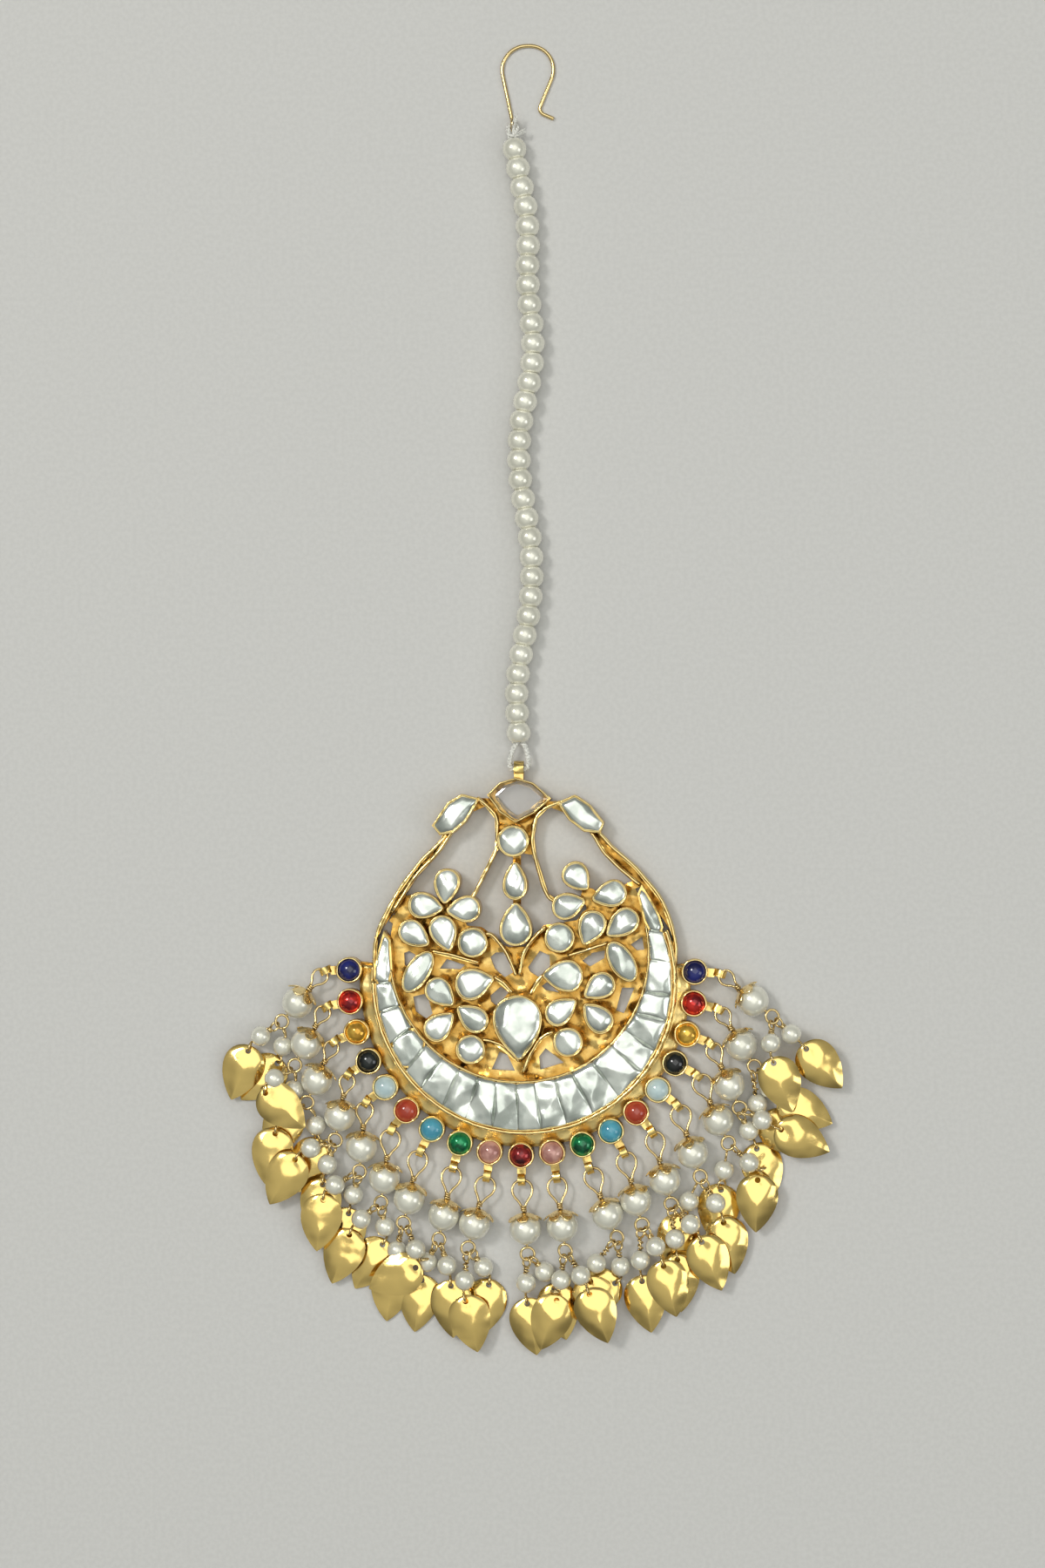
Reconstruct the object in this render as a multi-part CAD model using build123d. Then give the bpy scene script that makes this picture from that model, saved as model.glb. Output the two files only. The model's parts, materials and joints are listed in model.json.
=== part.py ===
from build123d import *
from collections import namedtuple
from math import asin, atan2, cos, degrees, hypot, pi, radians, sin, sqrt, tan
import os

# A maang tikka, a jewel for the parting of the hair: a wire hook, a string of pearls on thread,
# and an openwork gold pendant set with foiled glass stones. Nineteen cabochons stand round the
# pendant's edge, and each carries a pearl drop that ends in two small pearls with leaves.
# Millimetres, +Z up. The jewel lies face up on a flat surface at z = 0, hook towards +Y.
# The model is worked out about the centre of the crescent, and moved at the end so that the
# origin is the middle of the underside of the whole box.

GAP = 0.1              # clearance of loose pieces
PLATE = 0.8            # thickness of the pendant's back plate
BEZEL_TOP = 3.4        # height of the stones' bezels
STONE_SEAT = 1.4       # height where a stone stands in its bezel
WALL = 0.45            # bezel wall
RIBBON = 0.5           # width of the gold strips on edge
RIBBON_TOP = 2.7

CRESCENT_R = 22.5      # outer radius of the crescent's stones
RIM_R = 23.3           # outer radius of the gold rim
CRESCENT_TOP = 3.9
INNER_R = 19.8         # radius of the crescent's inner edge
INNER_X, INNER_Y = -0.7, 4.5

CUPS = 19              # cabochon cups round the rim
CUP_X = -0.4
CUP_RING_R = 26.5
CUP_START, CUP_PITCH = 176.5, 10.38
CUP_R = 1.95
CUP_TOP = 3.0
CABOCHON_R = 1.65
LEDGE_R = 25.4         # outer radius of the ledge that carries the cups

BAIL_REACH = 3.8       # from a cup's centre to its tube bail
BAIL_Z = 1.5
BAIL_R, BAIL_HOLE_R, BAIL_LENGTH = 1.0, 0.7, 1.1
TOP_BAIL_X, TOP_BAIL_Y = -0.8, 32.5
TOP_BAIL_R, TOP_BAIL_HOLE_R = 1.15, 0.75

PEARL_R = 2.45         # pearl of a drop
SMALL_PEARL_R = 1.55   # pearl of a link
PEARL_HOLE_R = 0.3
WIRE_R = 0.18          # wire of the drops and links
DROP_LOOP_R = 1.5      # round part of a drop's upper loop
DROP_NECK = 2.6        # from that loop's centre to the wrapped neck
NECK_TO_PEARL = 3.4    # from the neck to the pearl's centre
LOOP_TILT = 13         # the upper loop is bent down from the wire, to reach the bail
RING_R = 1.05          # ring below the pearl, which carries the two links
RING_REACH = 3.8       # from the pearl's centre to that ring's centre
LINK_LOOP_R = 0.75     # upper loop of a link
LINK_SHIFT = 0.27      # how far the link's loop stands out from the ring's wire
LINK_PEARL = 2.65      # from that loop's centre to the small pearl
EYE_R = 0.65           # lower eye of a link, which carries a leaf

LEAF_LENGTH, LEAF_WIDTH, LEAF_THICK = 9.0, 6.5, 0.25
LEAF_SLOPE = 6         # each half of a leaf slopes down from its crease
LEAF_HOLE_R, LEAF_EDGE = 0.5, 0.85

STRING_PEARL_R, STRING_PEARL_THICK = 1.9, 2.88
STRING_PEARLS = 31
STRING_HOLE_R, THREAD_R = 0.45, 0.3
STRAND_R = 0.24        # one strand of the thread where it is doubled

HOOK_WIRE_R = 0.29
HOOK_EYE_R = 0.85
HOOK_EYE_X, HOOK_EYE_Y = -1.8, 131.3

Stone = namedtuple("Stone", "x y length width turn cut")
CENTRE_STONE = Stone(-0.9, -7.0, 8.9, 6.6, 273, "pear")
FAN_STONE = [(-3.4, 26.2), (-1.2, 24.7), (1.4, 26.1), (3.5, 27.9), (1.2, 29.9), (-1.2, 30.6), (-3.4, 29.9),
             (-5.0, 28.4)]
SHOULDER_STONES = {"left": [(-13.5, 23.8), (-12.7, 22.8), (-10.9, 23.1), (-9.2, 24.6), (-7.4, 27.6), (-9.4, 28.1),
                            (-11.4, 26.9)],
                   "right": [(5.8, 27.1), (7.3, 24.9), (9.4, 23.3), (11.4, 23.1), (11.8, 24.2), (9.9, 26.6),
                             (7.8, 28.0)]}
FIELD_STONES = [
    Stone(-11.8, 14.5, 4.5, 3.1, 263, "pear"),      # left flower
    Stone(-15.0, 11.5, 4.5, 3.2, -8, "pear"),
    Stone(-9.2, 11.0, 4.3, 3.2, 186, "pear"),
    Stone(-12.2, 7.3, 4.7, 3.3, -71, "pear"),
    Stone(-16.7, 7.1, 4.4, 3.0, -36, "pear"),
    Stone(-7.8, 5.9, 3.7, 3.7, 0, "round"),
    Stone(-16.2, 1.4, 6.3, 2.8, 57, "marquise"),    # left leaf spray
    Stone(-7.5, -0.3, 5.1, 4.0, 15, "pear"),
    Stone(-12.7, -1.8, 4.3, 3.1, -43, "pear"),
    Stone(-7.9, -5.5, 4.5, 3.1, 145, "pear"),
    Stone(-12.8, -6.8, 4.5, 3.1, 43, "pear"),
    Stone(-8.1, -10.4, 3.6, 3.6, 0, "round"),
    Stone(8.2, 15.9, 4.0, 3.2, -48, "pear"),        # right flower
    Stone(13.1, 13.3, 4.5, 3.2, 197, "pear"),
    Stone(6.9, 11.6, 4.3, 3.2, 17, "pear"),
    Stone(10.3, 8.2, 4.6, 3.3, 245, "pear"),
    Stone(15.0, 8.8, 4.8, 3.2, 218, "pear"),
    Stone(5.5, 6.7, 3.7, 3.7, 0, "round"),
    Stone(15.0, 3.1, 6.0, 2.9, 122, "marquise"),    # right leaf spray
    Stone(6.0, 0.9, 5.3, 4.0, 178, "pear"),
    Stone(11.5, -0.8, 4.3, 3.1, 213, "pear"),
    Stone(11.2, -5.4, 4.6, 3.2, 136, "pear"),
    Stone(5.8, -4.4, 4.5, 3.1, 36, "pear"),
    Stone(6.8, -9.2, 3.6, 3.6, 0, "round"),
    Stone(-1.6, 21.4, 3.9, 3.9, 0, "round"),        # middle column
    Stone(-1.3, 15.3, 4.8, 2.9, 90, "pear"),
    Stone(-1.2, 8.7, 5.7, 4.1, 90, "pear"),
]

# Where the bars between the crescent's stones end: angle on the outer and on the inner circle.
Bar = namedtuple("Bar", "outer inner")
BARS = [Bar(181, 193), Bar(192, 204), Bar(205, 215), Bar(217, 225), Bar(226, 234), Bar(237, 243),
        Bar(247, 252), Bar(258, 260), Bar(268, 269), Bar(277, 277), Bar(287, 286), Bar(298, 294),
        Bar(310, 304), Bar(323, 315), Bar(333, 324), Bar(345, 333), Bar(355, 343), Bar(368, 357),
        Bar(380, 370)]
CRESCENT_TIPS = {"left": (-20.9, 7.6), "right": (17.6, 14.6)}

# Gold strips on edge: each is a run of points on the back plate.
RIBBONS = {
    "left column": [(-7.2, 28.0), (-5.6, 26.7), (-4.2, 24.9), (-4.1, 22.0), (-4.2, 20.2), (-7.5, 13.5), (-8.3, 12.4)],
    "right column": [(5.6, 27.4), (3.4, 26.5), (1.8, 24.9), (1.3, 22.0), (1.6, 19.2), (3.5, 13.2), (5.2, 12.2)],
    "left stem": [(-5.8, 7.2), (-4.9, 7.0), (-3.5, 5.5), (-2.2, 3.4), (-1.2, 0.9)],
    "right stem": [(3.3, 8.3), (2.0, 7.2), (0.6, 5.5), (-0.2, 3.8), (-0.7, 1.0)],
    "left bar": [(-14.3, 4.6), (-7.0, 2.8)],
    "right bar": [(12.8, 5.9), (9.8, 4.9), (6.7, 3.9)],
    "left spray": [(-4.6, 0.7), (-1.8, -1.7)],
    "right spray": [(2.9, 1.0), (0.9, -2.0)],
    "left foot": [(-6.3, -8.9), (-4.5, -9.3), (-0.8, -12.2)],
    "right foot": [(4.5, -7.6), (2.7, -8.6), (1.0, -11.0), (-0.2, -14.0)],
    "left shoulder outer": [(-23.0, -0.4), (-22.7, 6.7), (-19.8, 12.9), (-16.0, 18.1), (-12.5, 21.6),
                            (-12.0, 23.2)],
    "left shoulder inner": [(-20.3, 10.4), (-16.8, 15.9), (-13.3, 19.6), (-10.9, 23.1)],
    "right shoulder outer": [(23.1, 2.3), (23.0, 6.7), (21.1, 12.3), (17.1, 17.3), (13.4, 20.6),
                             (11.4, 22.8)],
    "right shoulder inner": [(17.8, 14.7), (14.6, 17.3), (12.5, 19.4), (10.2, 22.9)],
}
# Where the back plate is cut right through below the flowers.
OPENINGS = [
    [(-5.3, 3.6), (-4.6, 1.8), (-3.1, 0.5), (-1.6, 1.4), (-2.8, 4.4), (-4.5, 4.3)],
    [(0.5, 2.1), (0.8, 1.4), (2.2, 0.5), (3.9, 2.3), (3.8, 3.9), (2.3, 4.6)],
    [(-18.6, 4.2), (-18.5, 2.3), (-17.9, 2.2), (-16.8, 3.9), (-17.8, 4.5)],
    [(-13.1, 1.8), (-9.9, 1.7), (-9.2, 2.4), (-12.0, 3.3)],
    [(8.8, 3.1), (10.0, 2.2), (12.2, 3.5), (12.3, 4.7), (10.3, 4.3)],
    [(16.2, 5.6), (17.2, 4.7), (18.3, 4.8), (18.0, 6.8)],
    [(-17.2, -2.5), (-16.8, -4.8), (-15.2, -5.9), (-14.2, -5.1), (-15.1, -2.0)],
    [(14.0, -4.5), (15.2, -4.9), (16.8, -1.0), (14.9, -1.0)],
    [(-5.3, -2.3), (-5.2, -3.2), (-4.2, -4.0), (-2.5, -1.8), (-3.7, -0.9)],
    [(2.6, -0.8), (3.2, -1.4), (5.3, -1.8), (3.4, -0.2)],
    [(-5.1, -13.6), (-1.5, -13.8), (-2.7, -11.3), (-3.9, -10.9)],
    [(2.2, -11.6), (2.4, -13.6), (6.0, -12.5), (3.2, -10.3)],
]
# The back plate's upper edge inside the crescent, from left to right below the flowers.
FIELD_EDGE = [(-20.8, 10.5), (-18.6, 13.0), (-16.3, 13.2), (-13.5, 11.4), (-9.5, 10.0), (-8.9, 8.4), (-6.7, 8.2),
              (-5.5, 7.4), (-3.4, 5.6), (-2.6, 5.2), (0.4, 5.2), (1.3, 6.5), (2.9, 8.5), (5.6, 8.9), (8.0, 9.3),
              (8.9, 10.6), (10.6, 11.6), (12.6, 12.5), (14.6, 13.6), (16.8, 14.2), (19.0, 13.0)]
# The flowers are joined by a disc at each heart and by flat bars hidden beneath the stones.
HEARTS = [(-12.1, 11.2), (9.9, 12.9)]
HEART_R = 1.3
TIES = [[(-12.1, 11.2), (-11.8, 14.5)], [(-15.0, 11.5), (-9.2, 11.0)], [(-12.1, 11.2), (-12.2, 7.3), (-11.5, 3.6)],
        [(-12.1, 11.2), (-16.7, 7.1)], [(-16.7, 7.1), (-20.6, 9.6)], [(-15.0, 11.5), (-19.6, 12.4)],
        [(9.9, 12.9), (8.2, 15.9)], [(13.1, 13.3), (6.9, 11.6)], [(9.9, 12.9), (10.3, 8.2), (9.5, 4.0)],
        [(9.9, 12.9), (15.0, 8.8)], [(15.0, 8.8), (19.6, 11.4)], [(13.1, 13.3), (18.0, 15.2)],
        [(-10.6, 25.4), (-6.0, 27.4)], [(8.7, 25.4), (4.4, 27.0)], [(-1.2, 19.5), (-1.2, 8.0)],
        [(-7.8, 5.9), (-6.0, 6.6)], [(5.5, 6.7), (3.0, 8.0)]]
TIE_WIDTH = 1.2

# One row for each drop, from the left end of the crescent to the right: which way its bail
# stands off the cup, how far its loop is swung from there, which way it hangs, and how large its
# upper loop is.
Drop = namedtuple("Drop", "bail swing hang size")
DROPS = [Drop(182, 45, 230, 0.75), Drop(193, 45, 242, 0.75), Drop(203, 40, 246, 0.75), Drop(213, 45, 259, 0.75),
         Drop(217, 45, 265, 0.85), Drop(231, 30, 262, 1), Drop(242, 14, 257, 1), Drop(254, 4, 259, 1),
         Drop(262, -4, 255, 1), Drop(270, 5, 275, 1), Drop(279, -2, 277, 1), Drop(285, 8, 292, 1),
         Drop(300, -12, 284, 1), Drop(308, -20, 285, 1), Drop(320, -30, 288, 1), Drop(331, -30, 294, 1),
         Drop(338, -40, 294, 0.85), Drop(347, -40, 302, 0.75), Drop(356, -28, 320, 0.75)]
# Two rows for each drop: where the link sits on the ring, which way it lies, how much longer its
# neck is, which way its leaf points, and how high it lies (0 on the surface, more over others).
Link = namedtuple("Link", "seat lie extra leaf level")
LINKS = [(Link(214, 214, 0, 250, 1), Link(270, 270, 0, 225, 0)),
         (Link(213, 213, 0, 318, 3), Link(266, 266, 0, 245, 0)),
         (Link(217, 217, 0, 258, 1), Link(290, 290, 0, 249, 0)),
         (Link(198, 198, 0, 240, 2), Link(252, 252, 0, 262, 1)),
         (Link(205, 210, 0.3, 262, 2), Link(259, 252, 0, 258, 0)),
         (Link(220, 220, 0, 250, 1), Link(278, 278, 0, 238, 0)),
         (Link(250, 257, 0.6, 262, 0), Link(304, 294, 0.5, 205, 2)),
         (Link(238, 244, 0.2, 262, 0), Link(292, 286, 0.2, 272, 1)),
         (Link(259, 266, 1.0, 283, 2), Link(313, 305, 0, 260, 0)),
         (Link(263, 268, 0.5, 280, 1), Link(317, 310, 0, 283, 0)),
         (Link(255, 264, 0.5, 252, 2), Link(310, 303, 0.7, 290, 3)),
         (Link(227, 233, 1.1, 278, 1), Link(281, 275, 0.7, 205, 0)),
         (Link(257, 270, 1.5, 280, 1), Link(311, 300, 0, 284, 2)),
         (Link(268, 278, 1.4, 274, 1), Link(322, 312, 0.3, 292, 2)),
         (Link(246, 246, 0.4, 255, 0), Link(300, 300, 0.7, 282, 1)),
         (Link(261, 261, 0.4, 262, 0), Link(318, 318, 0.4, 268, 2)),
         (Link(279, 297, 0, 287, 0), Link(333, 333, 0, 335, 2)),
         (Link(262, 277, 1.9, 325, 0), Link(316, 300, 0, 336, 1)),
         (Link(264, 268, 0.4, 290, 3), Link(318, 318, 0, 312, 2))]
LEVEL_RISE = 0.8       # how much higher each level lies
LEAF_DIP = [0, 2, 3, 4]  # how far the leaf's tip hangs down, for each level
EYE_ANGLE = -35        # where on the link's eye the leaf hangs
EYE_BEND = 50          # most that an eye is bent away from its link

# The string's centre line bends gently at these corners, from the hook down to the pendant.
STRING_LINE = [(-1.8, 129.5), (-1.3, 126.0), (0.7, 116.5), (0.4, 106.5), (1.7, 96.0), (-1.5, 81.0),
               (1.9, 62.5), (-1.4, 45.0), (-0.7, 35.9)]
FIRST_PEARL = 2.1      # from the string's upper end to the first pearl's centre
STRING_PITCH = 3.0

# The hook: corners of the wire's line, each rounded with its own radius.
HOOK_CORNERS = [(-4.4, 143.6), (6.2, 143.6), (2.0, 133.4)]
HOOK_RADII = [3.7, 3.7, 1.0]
HOOK_END = (4.4, 132.3)


def point_at(angle, radius, x=0.0, y=0.0):
    return (x + radius * cos(radians(angle)), y + radius * sin(radians(angle)))


def prism(points, low, high):
    return extrude(Pos(0, 0, low) * make_face(Polyline(*points, close=True)), high - low)


def disc(x, y, radius, low, high):
    return Pos(x, y, low) * extrude(Circle(radius), high - low)


def solids_of(shape):
    return list(shape.solids())


def swept(line, plane, radius):
    return sweep(plane * Circle(radius), path=line)


# ---- outlines ----

def cut_outline(stone, sides, grow=0.0):
    """Points round a stone: its tip, where it has one, points along its turn."""
    half_length = stone.length / 2 + grow
    half_width = stone.width / 2 + grow
    points = []
    for i in range(sides):
        t = 2 * pi * i / sides
        along = half_length * cos(t)
        if stone.cut == "pear":
            across = half_width * sin(t) * abs(sin(t / 2)) ** 0.8 / 0.806
        elif stone.cut == "marquise":
            across = half_width * sin(t) * (0.82 + 0.18 * abs(sin(t)))
        else:
            across = half_width * sin(t)
        points.append((along, across))
    c, s = cos(radians(stone.turn)), sin(radians(stone.turn))
    return [(stone.x + a * c - b * s, stone.y + a * s + b * c) for a, b in points]


def middle(points):
    return (sum(p[0] for p in points) / len(points), sum(p[1] for p in points) / len(points))


def scaled(points, factor):
    x, y = middle(points)
    return [(x + (p[0] - x) * factor, y + (p[1] - y) * factor) for p in points]


def grown(points, distance):
    """A convex outline with each corner moved out so that its sides stand further off."""
    result = []
    count = len(points)
    for i, (x, y) in enumerate(points):
        ax, ay = points[i - 1]
        bx, by = points[(i + 1) % count]
        a = hypot(x - ax, y - ay)
        b = hypot(bx - x, by - y)
        nx = (y - ay) / a + (by - y) / b
        ny = -(x - ax) / a - (bx - x) / b
        share = 2 * distance / (nx * nx + ny * ny)
        result.append((x + nx * share, y + ny * share))
    return result


def strip_outline(points, width):
    """The outline of a bent strip of even width about a run of points."""
    left, right = [], []
    for i, (x, y) in enumerate(points):
        ax, ay = points[max(i - 1, 0)]
        bx, by = points[min(i + 1, len(points) - 1)]
        run = hypot(bx - ax, by - ay)
        nx, ny = (ay - by) / run * width / 2, (bx - ax) / run * width / 2
        left.append((x + nx, y + ny))
        right.append((x - nx, y - ny))
    return left + right[::-1]


def crescent_cells():
    """Outline of each stone of the crescent: a cut-cornered block between two bars, and a point at each tip."""
    def bar_ends(bar, side):
        turn = degrees(WALL / 2 / CRESCENT_R) * side
        outer = point_at(bar.outer + turn, CRESCENT_R - 0.15)
        inner = point_at(bar.inner + turn, INNER_R + WALL, INNER_X, INNER_Y)
        return outer, inner

    cells = []
    for first, last in zip(BARS, BARS[1:]):
        a, d = bar_ends(first, 1)
        b, c = bar_ends(last, -1)
        cells.append(cut_corners([a, b, c, d]))
    for bar, side, tip in ((BARS[0], -1, "left"), (BARS[-1], 1, "right")):
        outer, inner = bar_ends(bar, side)
        x, y = CRESCENT_TIPS[tip]
        bulge = (x * 0.35 + outer[0] * 0.67, y * 0.35 + outer[1] * 0.67)
        block = [outer, bulge, (x, y), inner] if side > 0 else [inner, (x, y), bulge, outer]
        cells.append(cut_corners(block, 0.2))
    return cells


def cut_corners(block, share=0.16):
    points = []
    for i, (x, y) in enumerate(block):
        for other in (block[i - 1], block[(i + 1) % len(block)]):
            points.append((x + (other[0] - x) * share, y + (other[1] - y) * share))
    return points


# ---- stones ----

def faceted(points, seat, girdle, top, table=0.62):
    """A stone with straight sides, a band of sloping facets and a flat table."""
    sections = [Pos(0, 0, z) * make_face(Polyline(*outline, close=True))
                for z, outline in ((seat, points), (girdle, points), (top, scaled(points, table)))]
    return loft(sections, ruled=True)


def cut_stone(stone, sides=12, rise=0.7):
    return faceted(cut_outline(stone, sides), STONE_SEAT + GAP, BEZEL_TOP - 0.5, BEZEL_TOP + rise - 0.5)


def cabochon(x, y):
    """A round stone with an upright side and a domed top."""
    low, rise = CUP_TOP - 1.1, 0.9
    top = low + 1.0 + rise
    ball = (CABOCHON_R ** 2 + rise ** 2) / (2 * rise)
    return disc(x, y, CABOCHON_R, low, top) & (Pos(x, y, top - ball) * Sphere(ball))


# ---- pendant ----

def cup_centre(k):
    return point_at(CUP_START + CUP_PITCH * k, CUP_RING_R, CUP_X, 0)


def bail_centre(k):
    x, y = cup_centre(k)
    return point_at(DROPS[k].bail, BAIL_REACH, x, y)


def tube(radius, low_x, high_x):
    return Pos(low_x, 0, 0) * (Plane.YZ * extrude(Circle(radius), high_x - low_x))


def arc_band(inner, outer, start, end, low, high, x=0.0, y=0.0):
    """A flat band that follows a circle from one angle to another."""
    mid = (start + end) / 2
    rim = ThreePointArc(point_at(start, outer), point_at(mid, outer), point_at(end, outer))
    hem = ThreePointArc(point_at(end, inner), point_at(mid, inner), point_at(start, inner))
    sides = Line(rim @ 1, hem @ 0) + Line(hem @ 1, rim @ 0)
    return Pos(x, y, low) * extrude(make_face(rim + hem + sides), high - low)


def pendant_frame():
    solid = []
    pockets = []
    cells = crescent_cells()
    for cell in cells:
        solid.append(prism(grown(cell, WALL + 0.05), 0, CRESCENT_TOP))
        pockets.append(prism(grown(cell, GAP), STONE_SEAT, CRESCENT_TOP + 1))
    solid.append(arc_band(RIM_R - 0.9, RIM_R, 181, 380, 0, CRESCENT_TOP))
    for stone in FIELD_STONES + [CENTRE_STONE]:
        solid.append(prism(cut_outline(stone, 24, WALL), 0, BEZEL_TOP))
        pockets.append(prism(grown(cut_outline(stone, 12), GAP), STONE_SEAT, BEZEL_TOP + 1))
    for outline in [FAN_STONE] + list(SHOULDER_STONES.values()):
        solid.append(prism(grown(outline, WALL), 0, BEZEL_TOP))
        pockets.append(prism(grown(outline, GAP), STONE_SEAT, BEZEL_TOP + 1))
    pockets.append(prism(scaled(FAN_STONE, 0.82), -1, BEZEL_TOP + 1))

    for points in RIBBONS.values():
        solid.append(prism(strip_outline(points, RIBBON), 0, RIBBON_TOP))
    for side in ("left", "right"):
        outer = RIBBONS[side + " shoulder outer"]
        inner = RIBBONS[side + " shoulder inner"]
        solid.append(prism(outer[1:] + inner[::-1], 0, PLATE))

    field = disc(INNER_X, INNER_Y, INNER_R + 0.3, 0, PLATE)
    field = field & prism(FIELD_EDGE + [(30, 13.0), (30, -30), (-30, -30), (-30, 10.5)], -1, 2)
    for opening in OPENINGS:
        field = field - prism(opening, -1, 2)
    solid.append(field)
    column = RIBBONS["left column"][:5] + RIBBONS["right column"][:5][::-1]
    solid.append(prism(column, 0, PLATE))
    for x, y in HEARTS:
        solid.append(disc(x, y, HEART_R, 0, PLATE))
    for points in TIES:
        solid.append(prism(strip_outline(points, TIE_WIDTH), 0, PLATE))

    solid.append(arc_band(RIM_R - 0.4, LEDGE_R, CUP_START - 3, CUP_START + CUP_PITCH * (CUPS - 1) + 3, 0, 1.1))
    for k in range(CUPS):
        x, y = cup_centre(k)
        solid.append(disc(x, y, CUP_R, 0, CUP_TOP))
        pockets.append(disc(x, y, CABOCHON_R + GAP, CUP_TOP - 1.1 - GAP, CUP_TOP + 1))
        strap = Pos(CUP_R - 0.4, 0, BAIL_Z) * Box(BAIL_REACH - BAIL_R - CUP_R + 0.6, 1.3, 0.9,
                                                  align=(Align.MIN, Align.CENTER, Align.CENTER))
        barrel = Rot(0, 0, 90) * tube(BAIL_R, -BAIL_LENGTH / 2, BAIL_LENGTH / 2)
        bore = Rot(0, 0, 90) * tube(BAIL_HOLE_R, -BAIL_LENGTH, BAIL_LENGTH)
        at_cup = Pos(x, y, 0) * Rot(0, 0, DROPS[k].bail)
        at_bail = at_cup * Pos(BAIL_REACH, 0, BAIL_Z) * Rot(0, 0, DROPS[k].swing / 2)
        solid.extend([at_cup * strap, at_bail * barrel])
        pockets.append(at_bail * bore)

    top_bail = Pos(TOP_BAIL_X, TOP_BAIL_Y, STRING_PEARL_R)
    solid.append(top_bail * tube(TOP_BAIL_R, -0.75, 0.75))
    solid.append(Pos(TOP_BAIL_X, TOP_BAIL_Y - 1.6, 1.35) * Box(1.4, 1.6, 2.7))
    pockets.append(top_bail * tube(TOP_BAIL_HOLE_R, -2, 2))

    frame = solid[0].fuse(*solid[1:])
    return frame.cut(*pockets)


# ---- drops ----

def drilled_ball(radius):
    half = sqrt(radius ** 2 - PEARL_HOLE_R ** 2)
    arc = ThreePointArc((half, PEARL_HOLE_R), (0, radius), (-half, PEARL_HOLE_R))
    return revolve(make_face(Line((-half, PEARL_HOLE_R), (half, PEARL_HOLE_R)) + arc), Axis.X)


def ring(radius, wire):
    return Torus(radius, wire)


def upright(shape):
    return Rot(90, 0, 0) * shape


def pearl_place(k):
    """Where a drop's pearl is, with the drop hanging along +X of the place."""
    drop = DROPS[k]
    bx, by = bail_centre(k)
    ox, oy = point_at(drop.bail + drop.swing, DROP_LOOP_R * drop.size, bx, by)
    x, y = point_at(drop.hang, DROP_NECK * drop.size + NECK_TO_PEARL, ox, oy)
    return Pos(x, y, PEARL_R) * Rot(0, 0, drop.hang)


def tear_loop(radius, neck, spread):
    """A wire loop in the XY plane: its two ends at x = 0, its round part centred at x = -neck."""
    reach = hypot(neck, spread)
    way = 180 + degrees(atan2(spread, neck)) - degrees(asin(radius / reach))
    touch = point_at(way, sqrt(reach ** 2 - radius ** 2), 0, spread)
    far_touch = (touch[0], -touch[1])
    path = Line((0, spread), touch) + ThreePointArc(touch, (-neck - radius, 0), far_touch)
    path = path + Line(far_touch, (0, -spread))
    return sweep(Plane(origin=path @ 0, z_dir=path % 0) * Circle(WIRE_R), path=path)


def petal_cap():
    """A thin scalloped cap on the pearl's upper end."""
    inside = PEARL_R + GAP
    shell = (Sphere(inside + 0.25) - Sphere(inside)) & tube(1.5, -inside - 1, -1)
    for petal in range(6):
        y, z = point_at(60 * petal, 1.6)
        shell = shell - Pos(0, y, z) * tube(0.35, -inside - 1, -1)
    return shell


def drop_wire(size):
    """A drop's wire about the pearl's centre: loop, wrapped neck, cap, pin and ring."""
    neck = -NECK_TO_PEARL
    loop = tear_loop(DROP_LOOP_R * size, DROP_NECK * size, WIRE_R + 0.02)
    wraps = tube(0.45, neck - 0.15, -PEARL_R - GAP - 0.1)
    pin = tube(WIRE_R, neck, RING_REACH - RING_R)
    lower_ring = Pos(RING_REACH, 0, 0) * ring(RING_R, WIRE_R)
    return wraps.fuse(Pos(neck, 0, 0) * Rot(0, -LOOP_TILT, 0) * loop, pin, petal_cap(), lower_ring)


def link_reach(link):
    """From the centre of a link's upper loop to its pearl's centre."""
    return LINK_PEARL + link.extra


def link_dip(link):
    """How far a link slopes down from the ring to its pearl, in degrees."""
    pearl_z = SMALL_PEARL_R + LEVEL_RISE * link.level
    return degrees(asin((PEARL_R - pearl_z) / link_reach(link)))


def link_end(link):
    return link_reach(link) + SMALL_PEARL_R + GAP + WIRE_R


def link_place(k, link):
    """The centre of a link's upper loop, with the link along +X of the place."""
    centre = (pearl_place(k) * Pos(RING_REACH, 0, 0)).position
    sx, sy = point_at(link.seat, RING_R, centre.X, centre.Y)
    x, y = point_at(link.lie, LINK_SHIFT, sx, sy)
    return Pos(x, y, PEARL_R) * Rot(0, 0, link.lie) * Rot(0, link_dip(link), 0)


def leaf_turn(link):
    return (link.leaf - link.lie + 180) % 360 - 180


def eye_bend(link):
    return max(-EYE_BEND, min(EYE_BEND, leaf_turn(link)))


def eye_place(link):
    """The centre of a link's lower eye, level and bent towards its leaf, in the link's place."""
    return Pos(link_end(link), 0, 0) * Rot(0, -link_dip(link), 0) * Rot(0, 0, eye_bend(link)) * Pos(EYE_R, 0, 0)


def link_wire(link):
    wraps = tube(0.36, LINK_LOOP_R - 0.05, link_reach(link) - SMALL_PEARL_R - GAP)
    pin = tube(WIRE_R, LINK_LOOP_R - 0.05, link_end(link))
    joint = Pos(link_end(link), 0, 0) * Sphere(WIRE_R + 0.02)
    eye = eye_place(link) * upright(ring(EYE_R, WIRE_R))
    return wraps.fuse(upright(ring(LINK_LOOP_R, WIRE_R)), pin, joint, eye)


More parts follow.
